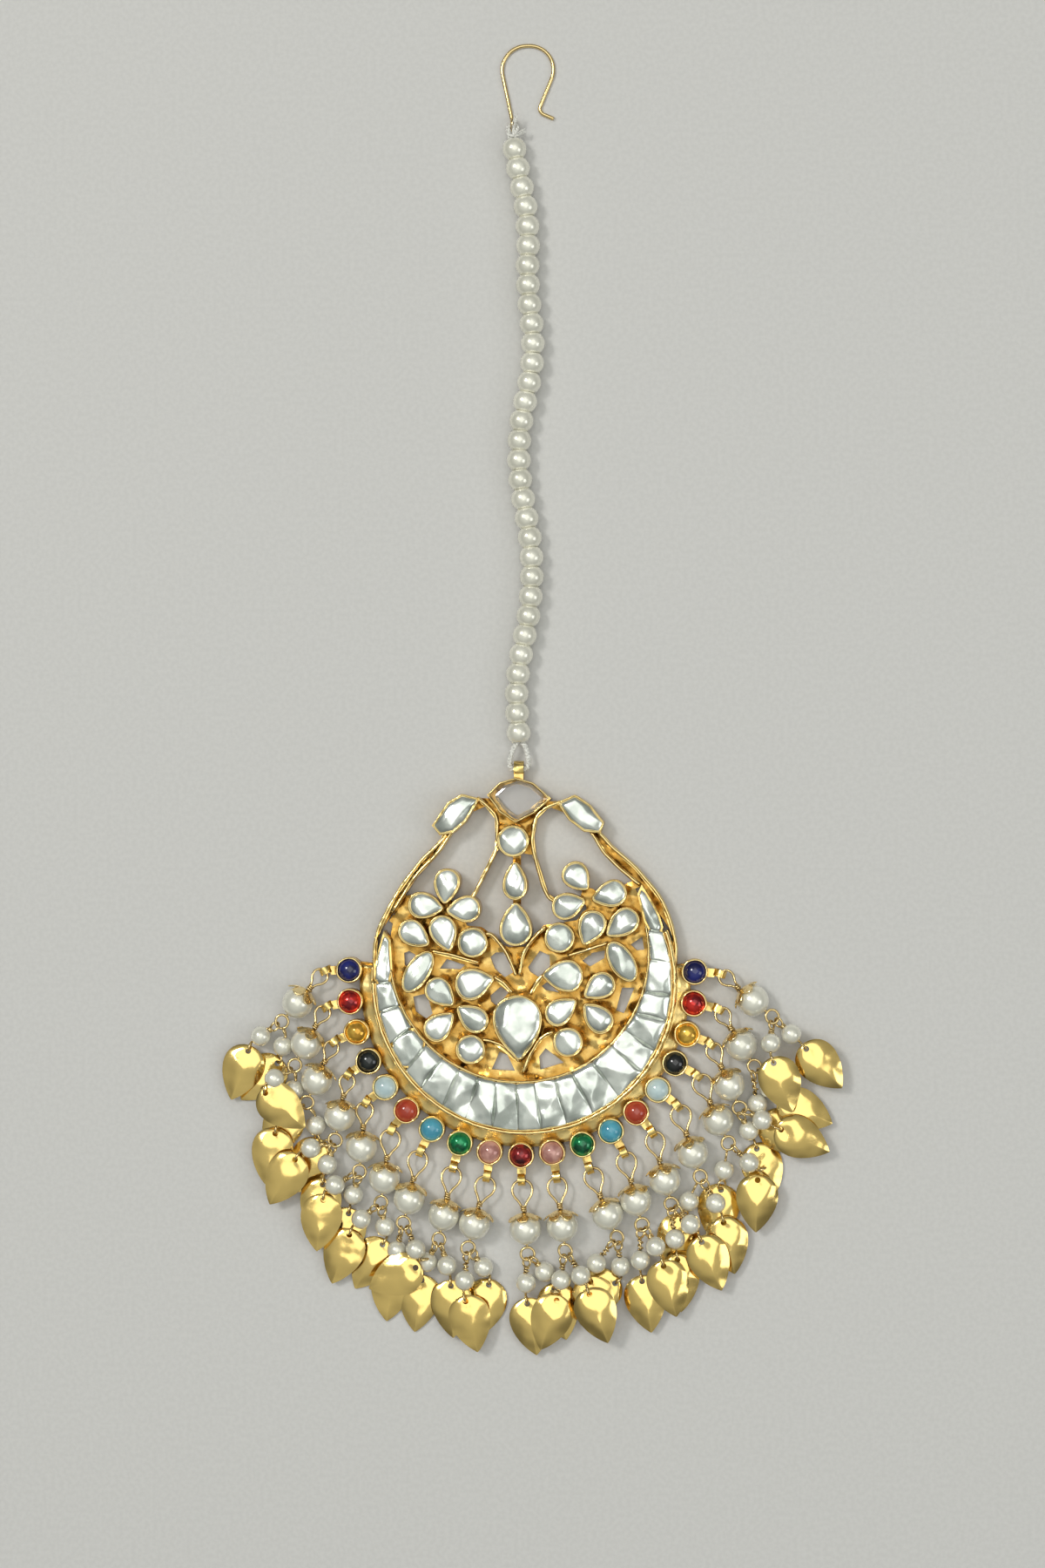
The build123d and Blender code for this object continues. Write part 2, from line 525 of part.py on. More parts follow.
def leaf():
    """A stamped leaf with its hole at the origin: each half slopes down from the middle crease."""
    outline = []
    for i in range(20):
        t = 2 * pi * i / 20
        across = LEAF_WIDTH / 2 * sin(t) * abs(sin(t / 2)) ** 0.75 / 0.813
        outline.append((LEAF_LENGTH / 2 * (1 + cos(t)) - LEAF_EDGE, across))
    fall = LEAF_WIDTH / 2 * tan(radians(LEAF_SLOPE)) * 1.2
    half = LEAF_WIDTH / 2 * 1.2
    roof = [(0, LEAF_THICK / 2), (half, LEAF_THICK / 2 - fall), (half, -LEAF_THICK / 2 - fall),
            (0, -LEAF_THICK / 2), (-half, -LEAF_THICK / 2 - fall), (-half, LEAF_THICK / 2 - fall)]
    section = Plane.YZ * make_face(Polyline(*roof, close=True))
    sheet = Pos(-LEAF_EDGE, 0, 0) * extrude(section, LEAF_LENGTH)
    return (sheet & prism(outline, -3, 3)) - disc(0, 0, LEAF_HOLE_R, -3, 3)


def leaf_place(link):
    """The leaf's hole on its eye, in the link's place."""
    x, z = point_at(EYE_ANGLE, EYE_R)
    turned = Rot(0, 0, leaf_turn(link) - eye_bend(link)) * Rot(0, LEAF_DIP[link.level], 0)
    return eye_place(link) * Pos(x, 0, z) * turned * Pos(0.2, 0, 0)


# ---- string and hook ----

def rounded_line(points):
    """A line through the corners with each turn as round as its two runs allow."""
    radii = []
    for before, corner, after in zip(points, points[1:], points[2:]):
        run_in = Vector(corner) - Vector(before)
        run_out = Vector(after) - Vector(corner)
        turn = radians(run_in.get_angle(run_out))
        radii.append(0.45 * min(run_in.length, run_out.length) / tan(turn / 2))
    return FilletPolyline(*points, radius=radii)


def string_pearl():
    face = make_face(Line((-STRING_PEARL_THICK / 2, STRING_HOLE_R), (STRING_PEARL_THICK / 2, STRING_HOLE_R))
                     + ThreePointArc((STRING_PEARL_THICK / 2, STRING_HOLE_R), (0, STRING_PEARL_R),
                                     (-STRING_PEARL_THICK / 2, STRING_HOLE_R)))
    return revolve(face, Axis.X)


def string_pearls(line):
    pearl = string_pearl()
    pitch = (line.length - 2 * FIRST_PEARL) / (STRING_PEARLS - 1)
    print("pitch of the string's pearls", round(pitch, 2))
    pearls = []
    for i in range(STRING_PEARLS):
        along = FIRST_PEARL + pitch * i
        place = line.position_at(along, position_mode=PositionMode.LENGTH)
        way = line.tangent_at(along, position_mode=PositionMode.LENGTH)
        turn = degrees(atan2(way.Y, way.X))
        pearls.append(Pos(place.X, place.Y, STRING_PEARL_R) * Rot(0, 0, turn) * pearl)
    return pearls


def wire_along(path, radius):
    return sweep(Plane(origin=path @ 0, z_dir=path % 0) * Circle(radius), path=path)


def string_thread(line):
    """Thread through the pearls, with a knotted loop at each end: one round the hook's eye, one
    through the pendant's upper bail."""
    top, low = line @ 0, line @ 1
    run = Pos(0, 0, STRING_PEARL_R) * wire_along(line, THREAD_R)
    knot = Pos(top.X, top.Y, STRING_PEARL_R) * Rot(90, 0, 0) * Cylinder(0.6, 1.0)
    low_knot = Pos(low.X, low.Y, STRING_PEARL_R) * Rot(90, 0, 0) * Cylinder(0.42, 0.5)

    eye_z = HOOK_WIRE_R + HOOK_EYE_R
    way = Vector(0, HOOK_EYE_Y - top.Y, eye_z - STRING_PEARL_R)
    reach = way.length + STRAND_R
    bend = FilletPolyline((-0.3, 0), (-0.66, 0.9), (-0.66, reach), (0.66, reach), (0.66, 0.9), (0.3, 0),
                          radius=[0.4, 0.6, 0.6, 0.4])
    tilted = Plane(origin=(HOOK_EYE_X, top.Y, STRING_PEARL_R), x_dir=(1, 0, 0),
                   z_dir=Vector(1, 0, 0).cross(way))
    loop = tilted.location * wire_along(bend, STRAND_R)

    bail_y = TOP_BAIL_Y
    left, right = TOP_BAIL_X - 1.35, TOP_BAIL_X + 1.3
    path = FilletPolyline((low.X - 0.15, low.Y), (left - 0.25, low.Y - 1.7), (left, bail_y), (right, bail_y),
                          (right + 0.4, low.Y - 1.6), (low.X + 0.15, low.Y), radius=[0.6, 0.5, 0.5, 0.6])
    low_loop = Pos(0, 0, STRING_PEARL_R) * wire_along(path, STRAND_R)
    return run.fuse(knot, low_knot, loop, low_loop)


def hair_hook():
    corners = [(HOOK_EYE_X, HOOK_EYE_Y)] + HOOK_CORNERS + [HOOK_END]
    path = FilletPolyline(*corners, radius=HOOK_RADII)
    bow = Pos(0, 0, HOOK_WIRE_R) * wire_along(path, HOOK_WIRE_R)
    eye = Pos(HOOK_EYE_X, HOOK_EYE_Y, HOOK_WIRE_R + HOOK_EYE_R) * (Rot(0, 90, 0) * ring(HOOK_EYE_R, HOOK_WIRE_R))
    return bow.fuse(eye)


# ---- assembly ----

def build_nodes():
    nodes = {"pendant_frame": [pendant_frame()]}
    nodes["centre_stone"] = [cut_stone(CENTRE_STONE, rise=1.3)]
    nodes["fan_stone"] = [faceted(FAN_STONE, STONE_SEAT + GAP, BEZEL_TOP - 0.5, BEZEL_TOP + 0.2)]
    for side, stone in SHOULDER_STONES.items():
        nodes[side + "_shoulder_stone"] = [faceted(stone, STONE_SEAT + GAP, BEZEL_TOP - 0.5, BEZEL_TOP + 0.2)]
    nodes["field_stones"] = [cut_stone(stone) for stone in FIELD_STONES]
    nodes["crescent_stones"] = [faceted(cell, STONE_SEAT + GAP, CRESCENT_TOP - 0.4, CRESCENT_TOP + 0.2)
                                for cell in crescent_cells()]
    for k in range(CUPS):
        nodes[f"cabochon_{k + 1:02d}"] = [cabochon(*cup_centre(k))]

    pearl, small_pearl = drilled_ball(PEARL_R), drilled_ball(SMALL_PEARL_R)
    one_leaf = leaf()
    for name in ("drop_wires", "link_wires", "small_pearls", "leaves"):
        nodes[name] = []
    for k in range(CUPS):
        place = pearl_place(k)
        nodes[f"drop_pearl_{k + 1:02d}"] = [place * pearl]
        nodes["drop_wires"].append(place * drop_wire(DROPS[k].size))
        for link in LINKS[k]:
            at_link = link_place(k, link)
            nodes["link_wires"].append(at_link * link_wire(link))
            nodes["small_pearls"].append(at_link * Pos(link_reach(link), 0, 0) * small_pearl)
            nodes["leaves"].append(at_link * leaf_place(link) * one_leaf)

    line = rounded_line(STRING_LINE)
    nodes["string_pearls"] = string_pearls(line)
    nodes["string_thread"] = [string_thread(line)]
    nodes["hair_hook"] = [hair_hook()]
    return nodes


def write_nodes(nodes):
    """Move all pieces so that the origin is the middle of the underside, and write them."""
    box = Compound([solid for shapes in nodes.values() for shape in shapes for solid in shape.solids()])
    box = box.bounding_box()
    shift = Pos(-(box.min.X + box.max.X) / 2, -(box.min.Y + box.max.Y) / 2, -box.min.Z)
    print("moved by", shift.position, "box", box.size)
    os.makedirs("parts", exist_ok=True)
    for name, shapes in nodes.items():
        solids = [shift * solid for shape in shapes for solid in shape.solids()]
        export_step(solids[0] if len(solids) == 1 else Compound(solids), f"parts/{name}.step")


write_nodes(build_nodes())
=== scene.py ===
import json
import math
import random

import bpy
import numpy as np
from mathutils import Matrix, Vector, noise


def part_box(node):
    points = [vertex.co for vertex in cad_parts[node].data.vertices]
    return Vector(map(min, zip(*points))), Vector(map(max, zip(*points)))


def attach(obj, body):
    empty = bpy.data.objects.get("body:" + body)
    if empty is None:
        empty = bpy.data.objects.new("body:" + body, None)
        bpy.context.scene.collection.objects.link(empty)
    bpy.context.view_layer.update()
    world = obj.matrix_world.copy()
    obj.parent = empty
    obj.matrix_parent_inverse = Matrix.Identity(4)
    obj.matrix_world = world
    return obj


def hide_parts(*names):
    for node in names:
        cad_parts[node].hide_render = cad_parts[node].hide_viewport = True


mm = 0.001
upward = Vector((0, 0, 1))
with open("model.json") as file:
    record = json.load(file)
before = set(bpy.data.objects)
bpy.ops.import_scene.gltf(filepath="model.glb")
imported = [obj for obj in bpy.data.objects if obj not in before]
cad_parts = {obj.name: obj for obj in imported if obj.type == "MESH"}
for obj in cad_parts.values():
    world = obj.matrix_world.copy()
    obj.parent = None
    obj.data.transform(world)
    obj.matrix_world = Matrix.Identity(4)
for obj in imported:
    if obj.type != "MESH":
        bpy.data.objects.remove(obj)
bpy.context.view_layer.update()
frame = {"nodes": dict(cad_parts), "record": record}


# Geometry in millimetres, gathered before it becomes one object.
class Shape:
    def __init__(self):
        self.points = []
        self.faces = []

    def add(self, points, faces):
        base = len(self.points)
        self.points.extend(tuple(p) for p in points)
        self.faces.extend(tuple(base + i for i in face) for face in faces)

    def rows(self, rows, closedAcross=True, closedAlong=False, caps=False):
        count = len(rows[0])
        points = [p for row in rows for p in row]
        faces = []
        for r in range(len(rows) if closedAlong else len(rows) - 1):
            a, b = r * count, (r + 1) % len(rows) * count
            for i in range(count if closedAcross else count - 1):
                j = (i + 1) % count
                faces.append((a + i, a + j, b + j, b + i))
        if caps:
            faces.append(tuple(range(count))[::-1])
            last = (len(rows) - 1) * count
            faces.append(tuple(last + i for i in range(count)))
        self.add(points, faces)

    def place(self, name, material, replaced=(), smooth=True, angle=None):
        mesh = bpy.data.meshes.new(name)
        mesh.from_pydata([(x * mm, y * mm, z * mm) for x, y, z in self.points], [], self.faces)
        mesh.materials.append(material)
        if smooth:
            mesh.shade_smooth()
        if angle:
            mesh.set_sharp_from_angle(angle=math.radians(angle))
        piece = bpy.data.objects.new(name, mesh)
        bpy.context.scene.collection.objects.link(piece)
        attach(piece, "root")
        if replaced:
            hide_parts(*replaced)
        return piece


# Frames carried along a line without twisting.
def carried(path, closed=False, up=(0, 0, 1)):
    line = [Vector(p) for p in path]
    count = len(line)
    frames = []
    side = None
    for i, p in enumerate(line):
        before = line[i - 1] if closed or i else p
        after = line[(i + 1) % count] if closed or i < count - 1 else p
        way = (after - before).normalized()
        if side is None:
            side = way.cross(Vector(up))
            if side.length < 1e-3:
                side = way.cross(Vector((1, 0, 0)))
        side = (side - way * side.dot(way)).normalized()
        frames.append((p, side, side.cross(way)))
    return frames


def tubeRows(path, radius, sides=8, closed=False):
    rows = []
    for i, (p, side, over) in enumerate(carried(path, closed)):
        r = radius(i) if callable(radius) else radius
        ring = []
        for k in range(sides):
            t = 2 * math.pi * k / sides
            ring.append(tuple(p + side * (r * math.cos(t)) + over * (r * math.sin(t))))
        rows.append(ring)
    return rows


def splinePoint(a, b, c, d, t):
    # Between b and c, on the smooth line through all four.
    bend = 2 * a - 5 * b + 4 * c - d
    return 0.5 * (2 * b + (c - a) * t + bend * t * t + (3 * b - a - 3 * c + d) * t ** 3)


def ringLine(points, step):
    # A closed smooth line through the points.
    count = len(points)
    line = []
    for i in range(count):
        a, b, c, d = (Vector(points[(i + k) % count]) for k in (-1, 0, 1, 2))
        line += [splinePoint(a, b, c, d, s / step) for s in range(step)]
    return line


def openLine(points, step):
    # A smooth line with free ends.
    run = [Vector(p) for p in points]
    run = [2 * run[0] - run[1]] + run + [2 * run[-1] - run[-2]]
    line = []
    for a, b, c, d in zip(run, run[1:], run[2:], run[3:]):
        line += [splinePoint(a, b, c, d, s / step) for s in range(step)]
    return line + [run[-2]]


def rough(p, size, seed):
    # Smooth chance between -1 and 1, in waves of the size.
    return noise.noise(Vector((p[0] / size, p[1] / size, p[2] / size + seed)))


def looseParts(node):
    # The corners of each solid of a node.
    mesh = frame["nodes"][node].data
    points = np.array([v.co for v in mesh.vertices]) / mm
    welded, owner = np.unique(np.round(points, 3), axis=0, return_inverse=True)
    owner = owner.ravel()
    parent = list(range(len(welded)))

    def top(i):
        while parent[i] != i:
            parent[i] = parent[parent[i]]
            i = parent[i]
        return i

    for edge in mesh.edges:
        a, b = top(owner[edge.vertices[0]]), top(owner[edge.vertices[1]])
        if a != b:
            parent[a] = b
    groups = {}
    for i in range(len(welded)):
        groups.setdefault(top(i), []).append(i)
    return [welded[members] for members in groups.values() if len(members) > 6]


def middleOf(points):
    return (points.min(0) + points.max(0)) / 2


def outlineOf(points):
    # Convex outline from above, anticlockwise.
    flat = sorted({(round(float(p[0]), 3), round(float(p[1]), 3)) for p in points})

    def half(run):
        chain = []
        for p in run:
            while len(chain) > 1:
                (ax, ay), (bx, by) = chain[-2], chain[-1]
                if (bx - ax) * (p[1] - ay) - (by - ay) * (p[0] - ax) > 1e-4:
                    break
                chain.pop()
            chain.append(p)
        return chain[:-1]

    return half(flat) + half(flat[::-1])


def offsetLine(line, distance):
    # A closed line in the plane moved outward.
    count = len(line)
    moved = []
    for i, p in enumerate(line):
        a, b = line[i - 1], line[(i + 1) % count]
        way = Vector((b[0] - a[0], b[1] - a[1])).normalized()
        moved.append(Vector((p[0] + way.y * distance, p[1] - way.x * distance)))
    return moved


# One socket of a shader, with arithmetic.
class Socket:
    def __init__(self, sheet, output):
        self.sheet = sheet
        self.output = output

    def math(self, operation, *values):
        return self.sheet.node("ShaderNodeMath", {"operation": operation}, dict(enumerate(values)))

    def __add__(self, other):
        return self.math("ADD", self, other)

    def __sub__(self, other):
        return self.math("SUBTRACT", self, other)

    def __rsub__(self, other):
        return self.math("SUBTRACT", other, self)

    def __mul__(self, other):
        return self.math("MULTIPLY", self, other)

    __radd__ = __add__
    __rmul__ = __mul__

    def span(self, low, high):
        # 0 at low, 1 at high, smooth between and level outside.
        return self.sheet.node("ShaderNodeMapRange", {"interpolation_type": "SMOOTHSTEP"},
                               {"Value": self, "From Min": low, "From Max": high})


# A node tree that is built node by node.
class Tree:
    def __init__(self, tree):
        self.tree = tree

    def fill(self, socket, value):
        if isinstance(value, Socket):
            self.tree.links.new(value.output, socket)
        elif isinstance(value, tuple):
            socket.default_value = (*value, 1.0) if len(value) == 3 and socket.type == "RGBA" else value
        else:
            socket.default_value = value

    def node(self, kind, settings=None, sockets=None, out=0):
        node = self.tree.nodes.new(kind)
        for name, value in (settings or {}).items():
            setattr(node, name, value)
        for key, value in (sockets or {}).items():
            self.fill(node.inputs[key], value)
        return Socket(self, node.outputs[out])

    def mix(self, factor, a, b):
        return self.node("ShaderNodeMix", {"data_type": "RGBA"}, {0: factor, 6: a, 7: b}, 2)


# One material, measured in millimetres.
class Sheet(Tree):
    def __init__(self, name):
        self.material = bpy.data.materials.new(name)
        self.material.use_nodes = True
        super().__init__(self.material.node_tree)
        self.tree.nodes.clear()
        self.shader = self.tree.nodes.new("ShaderNodeBsdfPrincipled")
        end = self.tree.nodes.new("ShaderNodeOutputMaterial")
        self.tree.links.new(self.shader.outputs["BSDF"], end.inputs["Surface"])
        coordinates = self.node("ShaderNodeTexCoord", out="Object")
        self.spot = self.node("ShaderNodeVectorMath", {"operation": "SCALE"},
                              {0: coordinates, "Scale": 1 / mm})

    def noise(self, scale, detail=3.0, rough=0.5):
        return self.node("ShaderNodeTexNoise", {}, {"Vector": self.spot, "Scale": scale,
                                                    "Detail": detail, "Roughness": rough}, "Fac")

    def bump(self, height, strength, distance=0.1, below=None):
        sockets = {"Height": height, "Strength": strength, "Distance": distance * mm}
        if below:
            sockets["Normal"] = below
        return self.node("ShaderNodeBump", {}, sockets, "Normal")

    def height(self):
        return self.node("ShaderNodeSeparateXYZ", {}, {0: self.spot}, "Z")

    def cornerShade(self, reach):
        # 0 in the open, towards 1 in corners narrower than the reach. It marks where painted shade goes.
        return 1 - self.node("ShaderNodeAmbientOcclusion", {"samples": 6}, {"Distance": reach * mm}, "AO")

    def finish(self, **values):
        for name, value in values.items():
            self.fill(self.shader.inputs[name.replace("_", " ")], value)
        return self.material


def goldMaterial(name, colour, shadeAndTone, roughness, hammer, dent, reach, grain, cornerBlack=0.0, low=-9.0, high=-8.0):
    # Painted shade: darker in corners within the reach, and from the height high down to low; the broad noise
    # adds random tone. Dent is dents per millimetre.
    sheet = Sheet(name)
    broad = sheet.noise(0.45, 3.0)
    fine = sheet.noise(3.2, 4.0, 0.6)
    # Painted shade in narrow corners, found by occlusion.
    corner = sheet.cornerShade(reach)
    # Painted shade, darker from the height high down to low.
    sunk = 1 - sheet.height().span(low, high)
    # The dark colour mixes in as painted shade in corners and low down, and as random tone from the broad
    # noise.
    base = sheet.mix((corner * 0.9 + sunk * 0.55 + (broad - 0.5) * 1.1).span(0.12, 0.95), colour, shadeAndTone)
    if cornerBlack:
        # Near-black patches, laid only in corners that occlusion finds.
        blackCornerPatches = sheet.noise(1.1, 4.0, 0.65).span(0.42, 0.60) * corner.span(0.45, 0.80) * cornerBlack
        base = sheet.mix(blackCornerPatches, base, (0.030, 0.018, 0.008))
    dents = sheet.bump(sheet.noise(dent, 1.0), hammer, 0.6 / dent)
    beaten = sheet.bump(sheet.noise(dent * 3, 1.0), grain * 4, 0.09 / dent, dents)
    normal = sheet.bump(fine, grain, 0.05, beaten)
    return sheet.finish(Base_Color=base, Metallic=1.0, Normal=normal,
                        Roughness=(fine - 0.5) * 0.2 + (broad - 0.5) * 0.15 + roughness)


def foilMaterial(name, light, dark):
    # Silver foil seen through colourless glass. Its light and grey patches are the foil's uneven tone and
    # painted reflection.
    sheet = Sheet(name)
    toneAndReflection = sheet.noise(0.35, 2.0)
    waves = sheet.bump(sheet.noise(0.34, 0.0), 0.75, 0.7)
    normal = sheet.bump(sheet.noise(0.9, 0.0), 0.15, 0.2, waves)
    return sheet.finish(Base_Color=sheet.mix(toneAndReflection.span(0.35, 0.60), dark, light), Metallic=0.80,
                        Roughness=sheet.noise(0.8, 2.0) * 0.16 + 0.11, Normal=normal,
                        Coat_Weight=1.0, Coat_Roughness=0.08, Coat_IOR=1.5)


def glassMaterial(name, light, dark, metallic):
    # Coloured glass, some of it over foil, which the metallic share stands for.
    sheet = Sheet(name)
    cloud = sheet.noise(0.6, 2.0)
    return sheet.finish(Base_Color=sheet.mix(cloud.span(0.36, 0.62), dark, light), Metallic=metallic,
                        Roughness=cloud * 0.1 + 0.08, Coat_Weight=0.5, Coat_Roughness=0.08,
                        Normal=sheet.bump(sheet.noise(0.7, 1.5), 0.5 if metallic else 0.1, 0.3))


def pearlMaterial(name, light, dark):
    # Glass with a pearl coat: a little metallic underneath, glossy on top.
    sheet = Sheet(name)
    cloud = sheet.noise(0.22, 2.0)
    return sheet.finish(Base_Color=sheet.mix(cloud.span(0.3, 0.7), dark, light), Metallic=0.36,
                        Roughness=cloud * 0.08 + 0.22, Coat_Weight=1.0, Coat_Roughness=0.10)


def clearMaterial(name):
    sheet = Sheet(name)
    return sheet.finish(Base_Color=(0.95, 0.94, 0.93), Roughness=sheet.noise(1.2, 2.0) * 0.05 + 0.01,
                        Alpha=0.75, Transmission_Weight=1.0, IOR=1.5, Coat_Weight=1.0, Coat_IOR=2.1,
                        Coat_Roughness=0.08, Normal=sheet.bump(sheet.noise(0.7, 1.0), 0.25, 0.3))


def threadMaterial(name):
    sheet = Sheet(name)
    fibres = sheet.noise(4.0, 3.0, 0.7)
    base = sheet.mix(fibres.span(0.35, 0.6), (0.56, 0.55, 0.50), (0.97, 0.96, 0.90))
    # Painted shade: darker in narrow corners between the plies and loops.
    base = sheet.mix(sheet.cornerShade(0.3).span(0.45, 0.95), base, (0.34, 0.32, 0.28))
    return sheet.finish(Base_Color=base, Roughness=fibres * 0.2 + 0.5, Sheen_Weight=0.4,
                        Normal=sheet.bump(fibres, 0.5, 0.06))


def floorMaterial(name):
    sheet = Sheet(name)
    grain = sheet.noise(1.5, 3.0)
    return sheet.finish(Base_Color=sheet.mix(grain.span(0.3, 0.7), (0.64, 0.63, 0.61), (0.68, 0.67, 0.65)),
                        Roughness=grain * 0.1 + 0.6, Normal=sheet.bump(grain, 0.03, 0.1))


goldLooks = {
    "frame_gold": {"colour": (0.90, 0.66, 0.24), "shadeAndTone": (0.46, 0.25, 0.05), "roughness": 0.24, "hammer": 0.6,
                   "dent": 0.35, "reach": 1.4, "grain": 0.04, "cornerBlack": 0.7, "low": 0.6, "high": 2.4},
    "lip_gold": {"colour": (0.94, 0.72, 0.32), "shadeAndTone": (0.70, 0.44, 0.13), "roughness": 0.18, "hammer": 0.25,
                 "dent": 0.6, "reach": 0.5, "grain": 0.02, "cornerBlack": 0.2},
    "cap_gold": {"colour": (1.0, 0.80, 0.42), "shadeAndTone": (0.88, 0.63, 0.27), "roughness": 0.26, "hammer": 0.30,
                 "dent": 0.8, "reach": 0.15, "grain": 0.02},
    "ledge_gold": {"colour": (0.94, 0.71, 0.29), "shadeAndTone": (0.60, 0.37, 0.10), "roughness": 0.30, "hammer": 0.3,
                   "dent": 0.3, "reach": 0.9, "grain": 0.03, "cornerBlack": 0.5},
    "wire_gold": {"colour": (0.76, 0.58, 0.28), "shadeAndTone": (0.46, 0.31, 0.12), "roughness": 0.20, "hammer": 0.0,
                  "dent": 1.0, "reach": 0.6, "grain": 0.02},
    "leaf_gold": {"colour": (0.93, 0.67, 0.23), "shadeAndTone": (0.64, 0.39, 0.08), "roughness": 0.15, "hammer": 0.24,
                  "dent": 0.22, "reach": 1.2, "grain": 0.01},
}
golds = {name: goldMaterial(name, **look) for name, look in goldLooks.items()}
foiled = foilMaterial("foiled_glass", (0.82, 0.85, 0.78), (0.56, 0.60, 0.54))
clear = clearMaterial("clear_glass")
pearl = pearlMaterial("pearl", (0.92, 0.90, 0.78), (0.84, 0.82, 0.70))
thread = threadMaterial("white_thread")
glassLooks = {
    "navy_glass": {"light": (0.012, 0.018, 0.17), "dark": (0.004, 0.005, 0.06), "metallic": 0.0},
    "red_glass": {"light": (0.80, 0.03, 0.015), "dark": (0.22, 0.005, 0.01), "metallic": 0.6},
    "yellow_glass": {"light": (0.95, 0.60, 0.09), "dark": (0.62, 0.32, 0.03), "metallic": 0.7},
    "black_glass": {"light": (0.010, 0.014, 0.012), "dark": (0.004, 0.004, 0.004), "metallic": 0.0},
    "pale_blue_glass": {"light": (0.60, 0.74, 0.74), "dark": (0.50, 0.64, 0.66), "metallic": 0.0},
    "coral_glass": {"light": (0.52, 0.065, 0.025), "dark": (0.40, 0.04, 0.015), "metallic": 0.0},
    "turquoise_glass": {"light": (0.10, 0.42, 0.55), "dark": (0.06, 0.31, 0.44), "metallic": 0.0},
    "green_glass": {"light": (0.005, 0.30, 0.10), "dark": (0.0, 0.07, 0.025), "metallic": 0.45},
    "pink_glass": {"light": (0.68, 0.37, 0.31), "dark": (0.44, 0.19, 0.16), "metallic": 0.15},
    "dark_red_glass": {"light": (0.38, 0.02, 0.02), "dark": (0.07, 0.004, 0.008), "metallic": 0.5},
}
cabochonGlass = {name: glassMaterial(name, **look) for name, look in glassLooks.items()}
floorCoat = floorMaterial("floor")
slotLooks = {**golds, **cabochonGlass, "foiled_glass": foiled, "clear_glass": clear, "pearl": pearl,
             "white_thread": thread}
print("materials made")

recordSlots = {part["node"]: part["material_slot"] for part in frame["record"]["subparts"]}
cabochons = sorted(name for name in frame["nodes"] if name.startswith("cabochon_"))
dropPearls = sorted(name for name in frame["nodes"] if name.startswith("drop_pearl_"))


def boxMiddle(node):
    low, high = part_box(node)
    return (low + high) / 2 / mm


# The cups stand on a circle, and the crescent's centre lies a little to the right of the circle's.
crescentShift = 0.4
cupSpots = [boxMiddle(name) for name in cabochons]
circleRows = np.array([(2 * p.x, 2 * p.y, 1) for p in cupSpots])
circleSums = np.array([p.x ** 2 + p.y ** 2 for p in cupSpots])
circleX, circleY, _ = np.linalg.lstsq(circleRows, circleSums, rcond=None)[0]
centreX, centreY = circleX + crescentShift, circleY


def fromCentre(x, y):
    return (x + centreX, y + centreY)


# Strips of this half width or less swell by this share, and wider ones by less. The waves are lengths.
beatenLook = {"swell": 0.22, "narrow": 0.2, "swellWave": 0.9, "sideWave": 1.7, "liftWave": 1.3,
              "liftShare": 1.1}


def swept(shape, line, profile, closed, seed, wobble):
    # A hand-beaten strip along a level line. Its profile's rows: out, up, and 1 where the height is uneven.
    look = beatenLook
    count = len(line)
    spread = look["swell"] * min(1.0, look["narrow"] / max(abs(o) for o, _, _ in profile))
    rows = []
    for i, p in enumerate(line):
        a = line[i - 1] if closed or i else p
        b = line[(i + 1) % count] if closed or i < count - 1 else p
        way = Vector((b[0] - a[0], b[1] - a[1])).normalized()
        out = Vector((way.y, -way.x))
        shift = rough((p[0], p[1], 0), look["sideWave"], seed) * wobble
        lift = rough((p[0], p[1], 0), look["liftWave"], seed + 7) * wobble * look["liftShare"]
        swell = 1 + spread * rough((p[0], p[1], 0), look["swellWave"], seed + 13)
        row = []
        for o, z, free in profile:
            o = o * swell + shift
            row.append((p[0] + out.x * o, p[1] + out.y * o, z + lift * free))
        rows.append(row)
    shape.rows(rows, True, closed, caps=not closed)


def lipProfile(top, depth, width):
    # A thin strip on edge with a rounded top, a little thicker at its foot.
    w = width / 2
    return [(-w * 1.05, top - depth, 0), (-w, top - 0.20, 1), (-w * 0.45, top - 0.02, 1), (w * 0.35, top, 1),
            (w, top - 0.18, 1), (w * 1.15, top - depth, 0)]


def softLeast(values, crease):
    # The least of the values, rounded where two are nearly the same.
    low = min(values)
    return low - crease * math.log(sum(math.exp((low - value) / crease) for value in values))


def lineMiddle(line):
    return (sum(p[0] for p in line) / len(line), sum(p[1] for p in line) / len(line))


# Heights of a stone's foot and girdle, and how far it grows under its lip. A higher roll keeps the top
# level nearer to its edge, and lean is how much the table slopes.
stoneLook = {"foot": 2.7, "girdle": 3.44, "grow": 0.23, "roll": 12.0, "lean": 0.06, "gap": 0.3,
             "rings": [1.0, 0.985, 0.95, 0.9, 0.83, 0.74, 0.63, 0.51, 0.38, 0.25, 0.12, 0.03]}


def sidePlane(line, centre, turn, slope, girdle):
    # A facet that meets the girdle where the stone reaches furthest that way.
    way = Vector((math.cos(turn), math.sin(turn)))
    far = max((p[0] - centre[0]) * way.x + (p[1] - centre[1]) * way.y for p in line)
    return (girdle + slope * far, -slope * way.x, -slope * way.y)


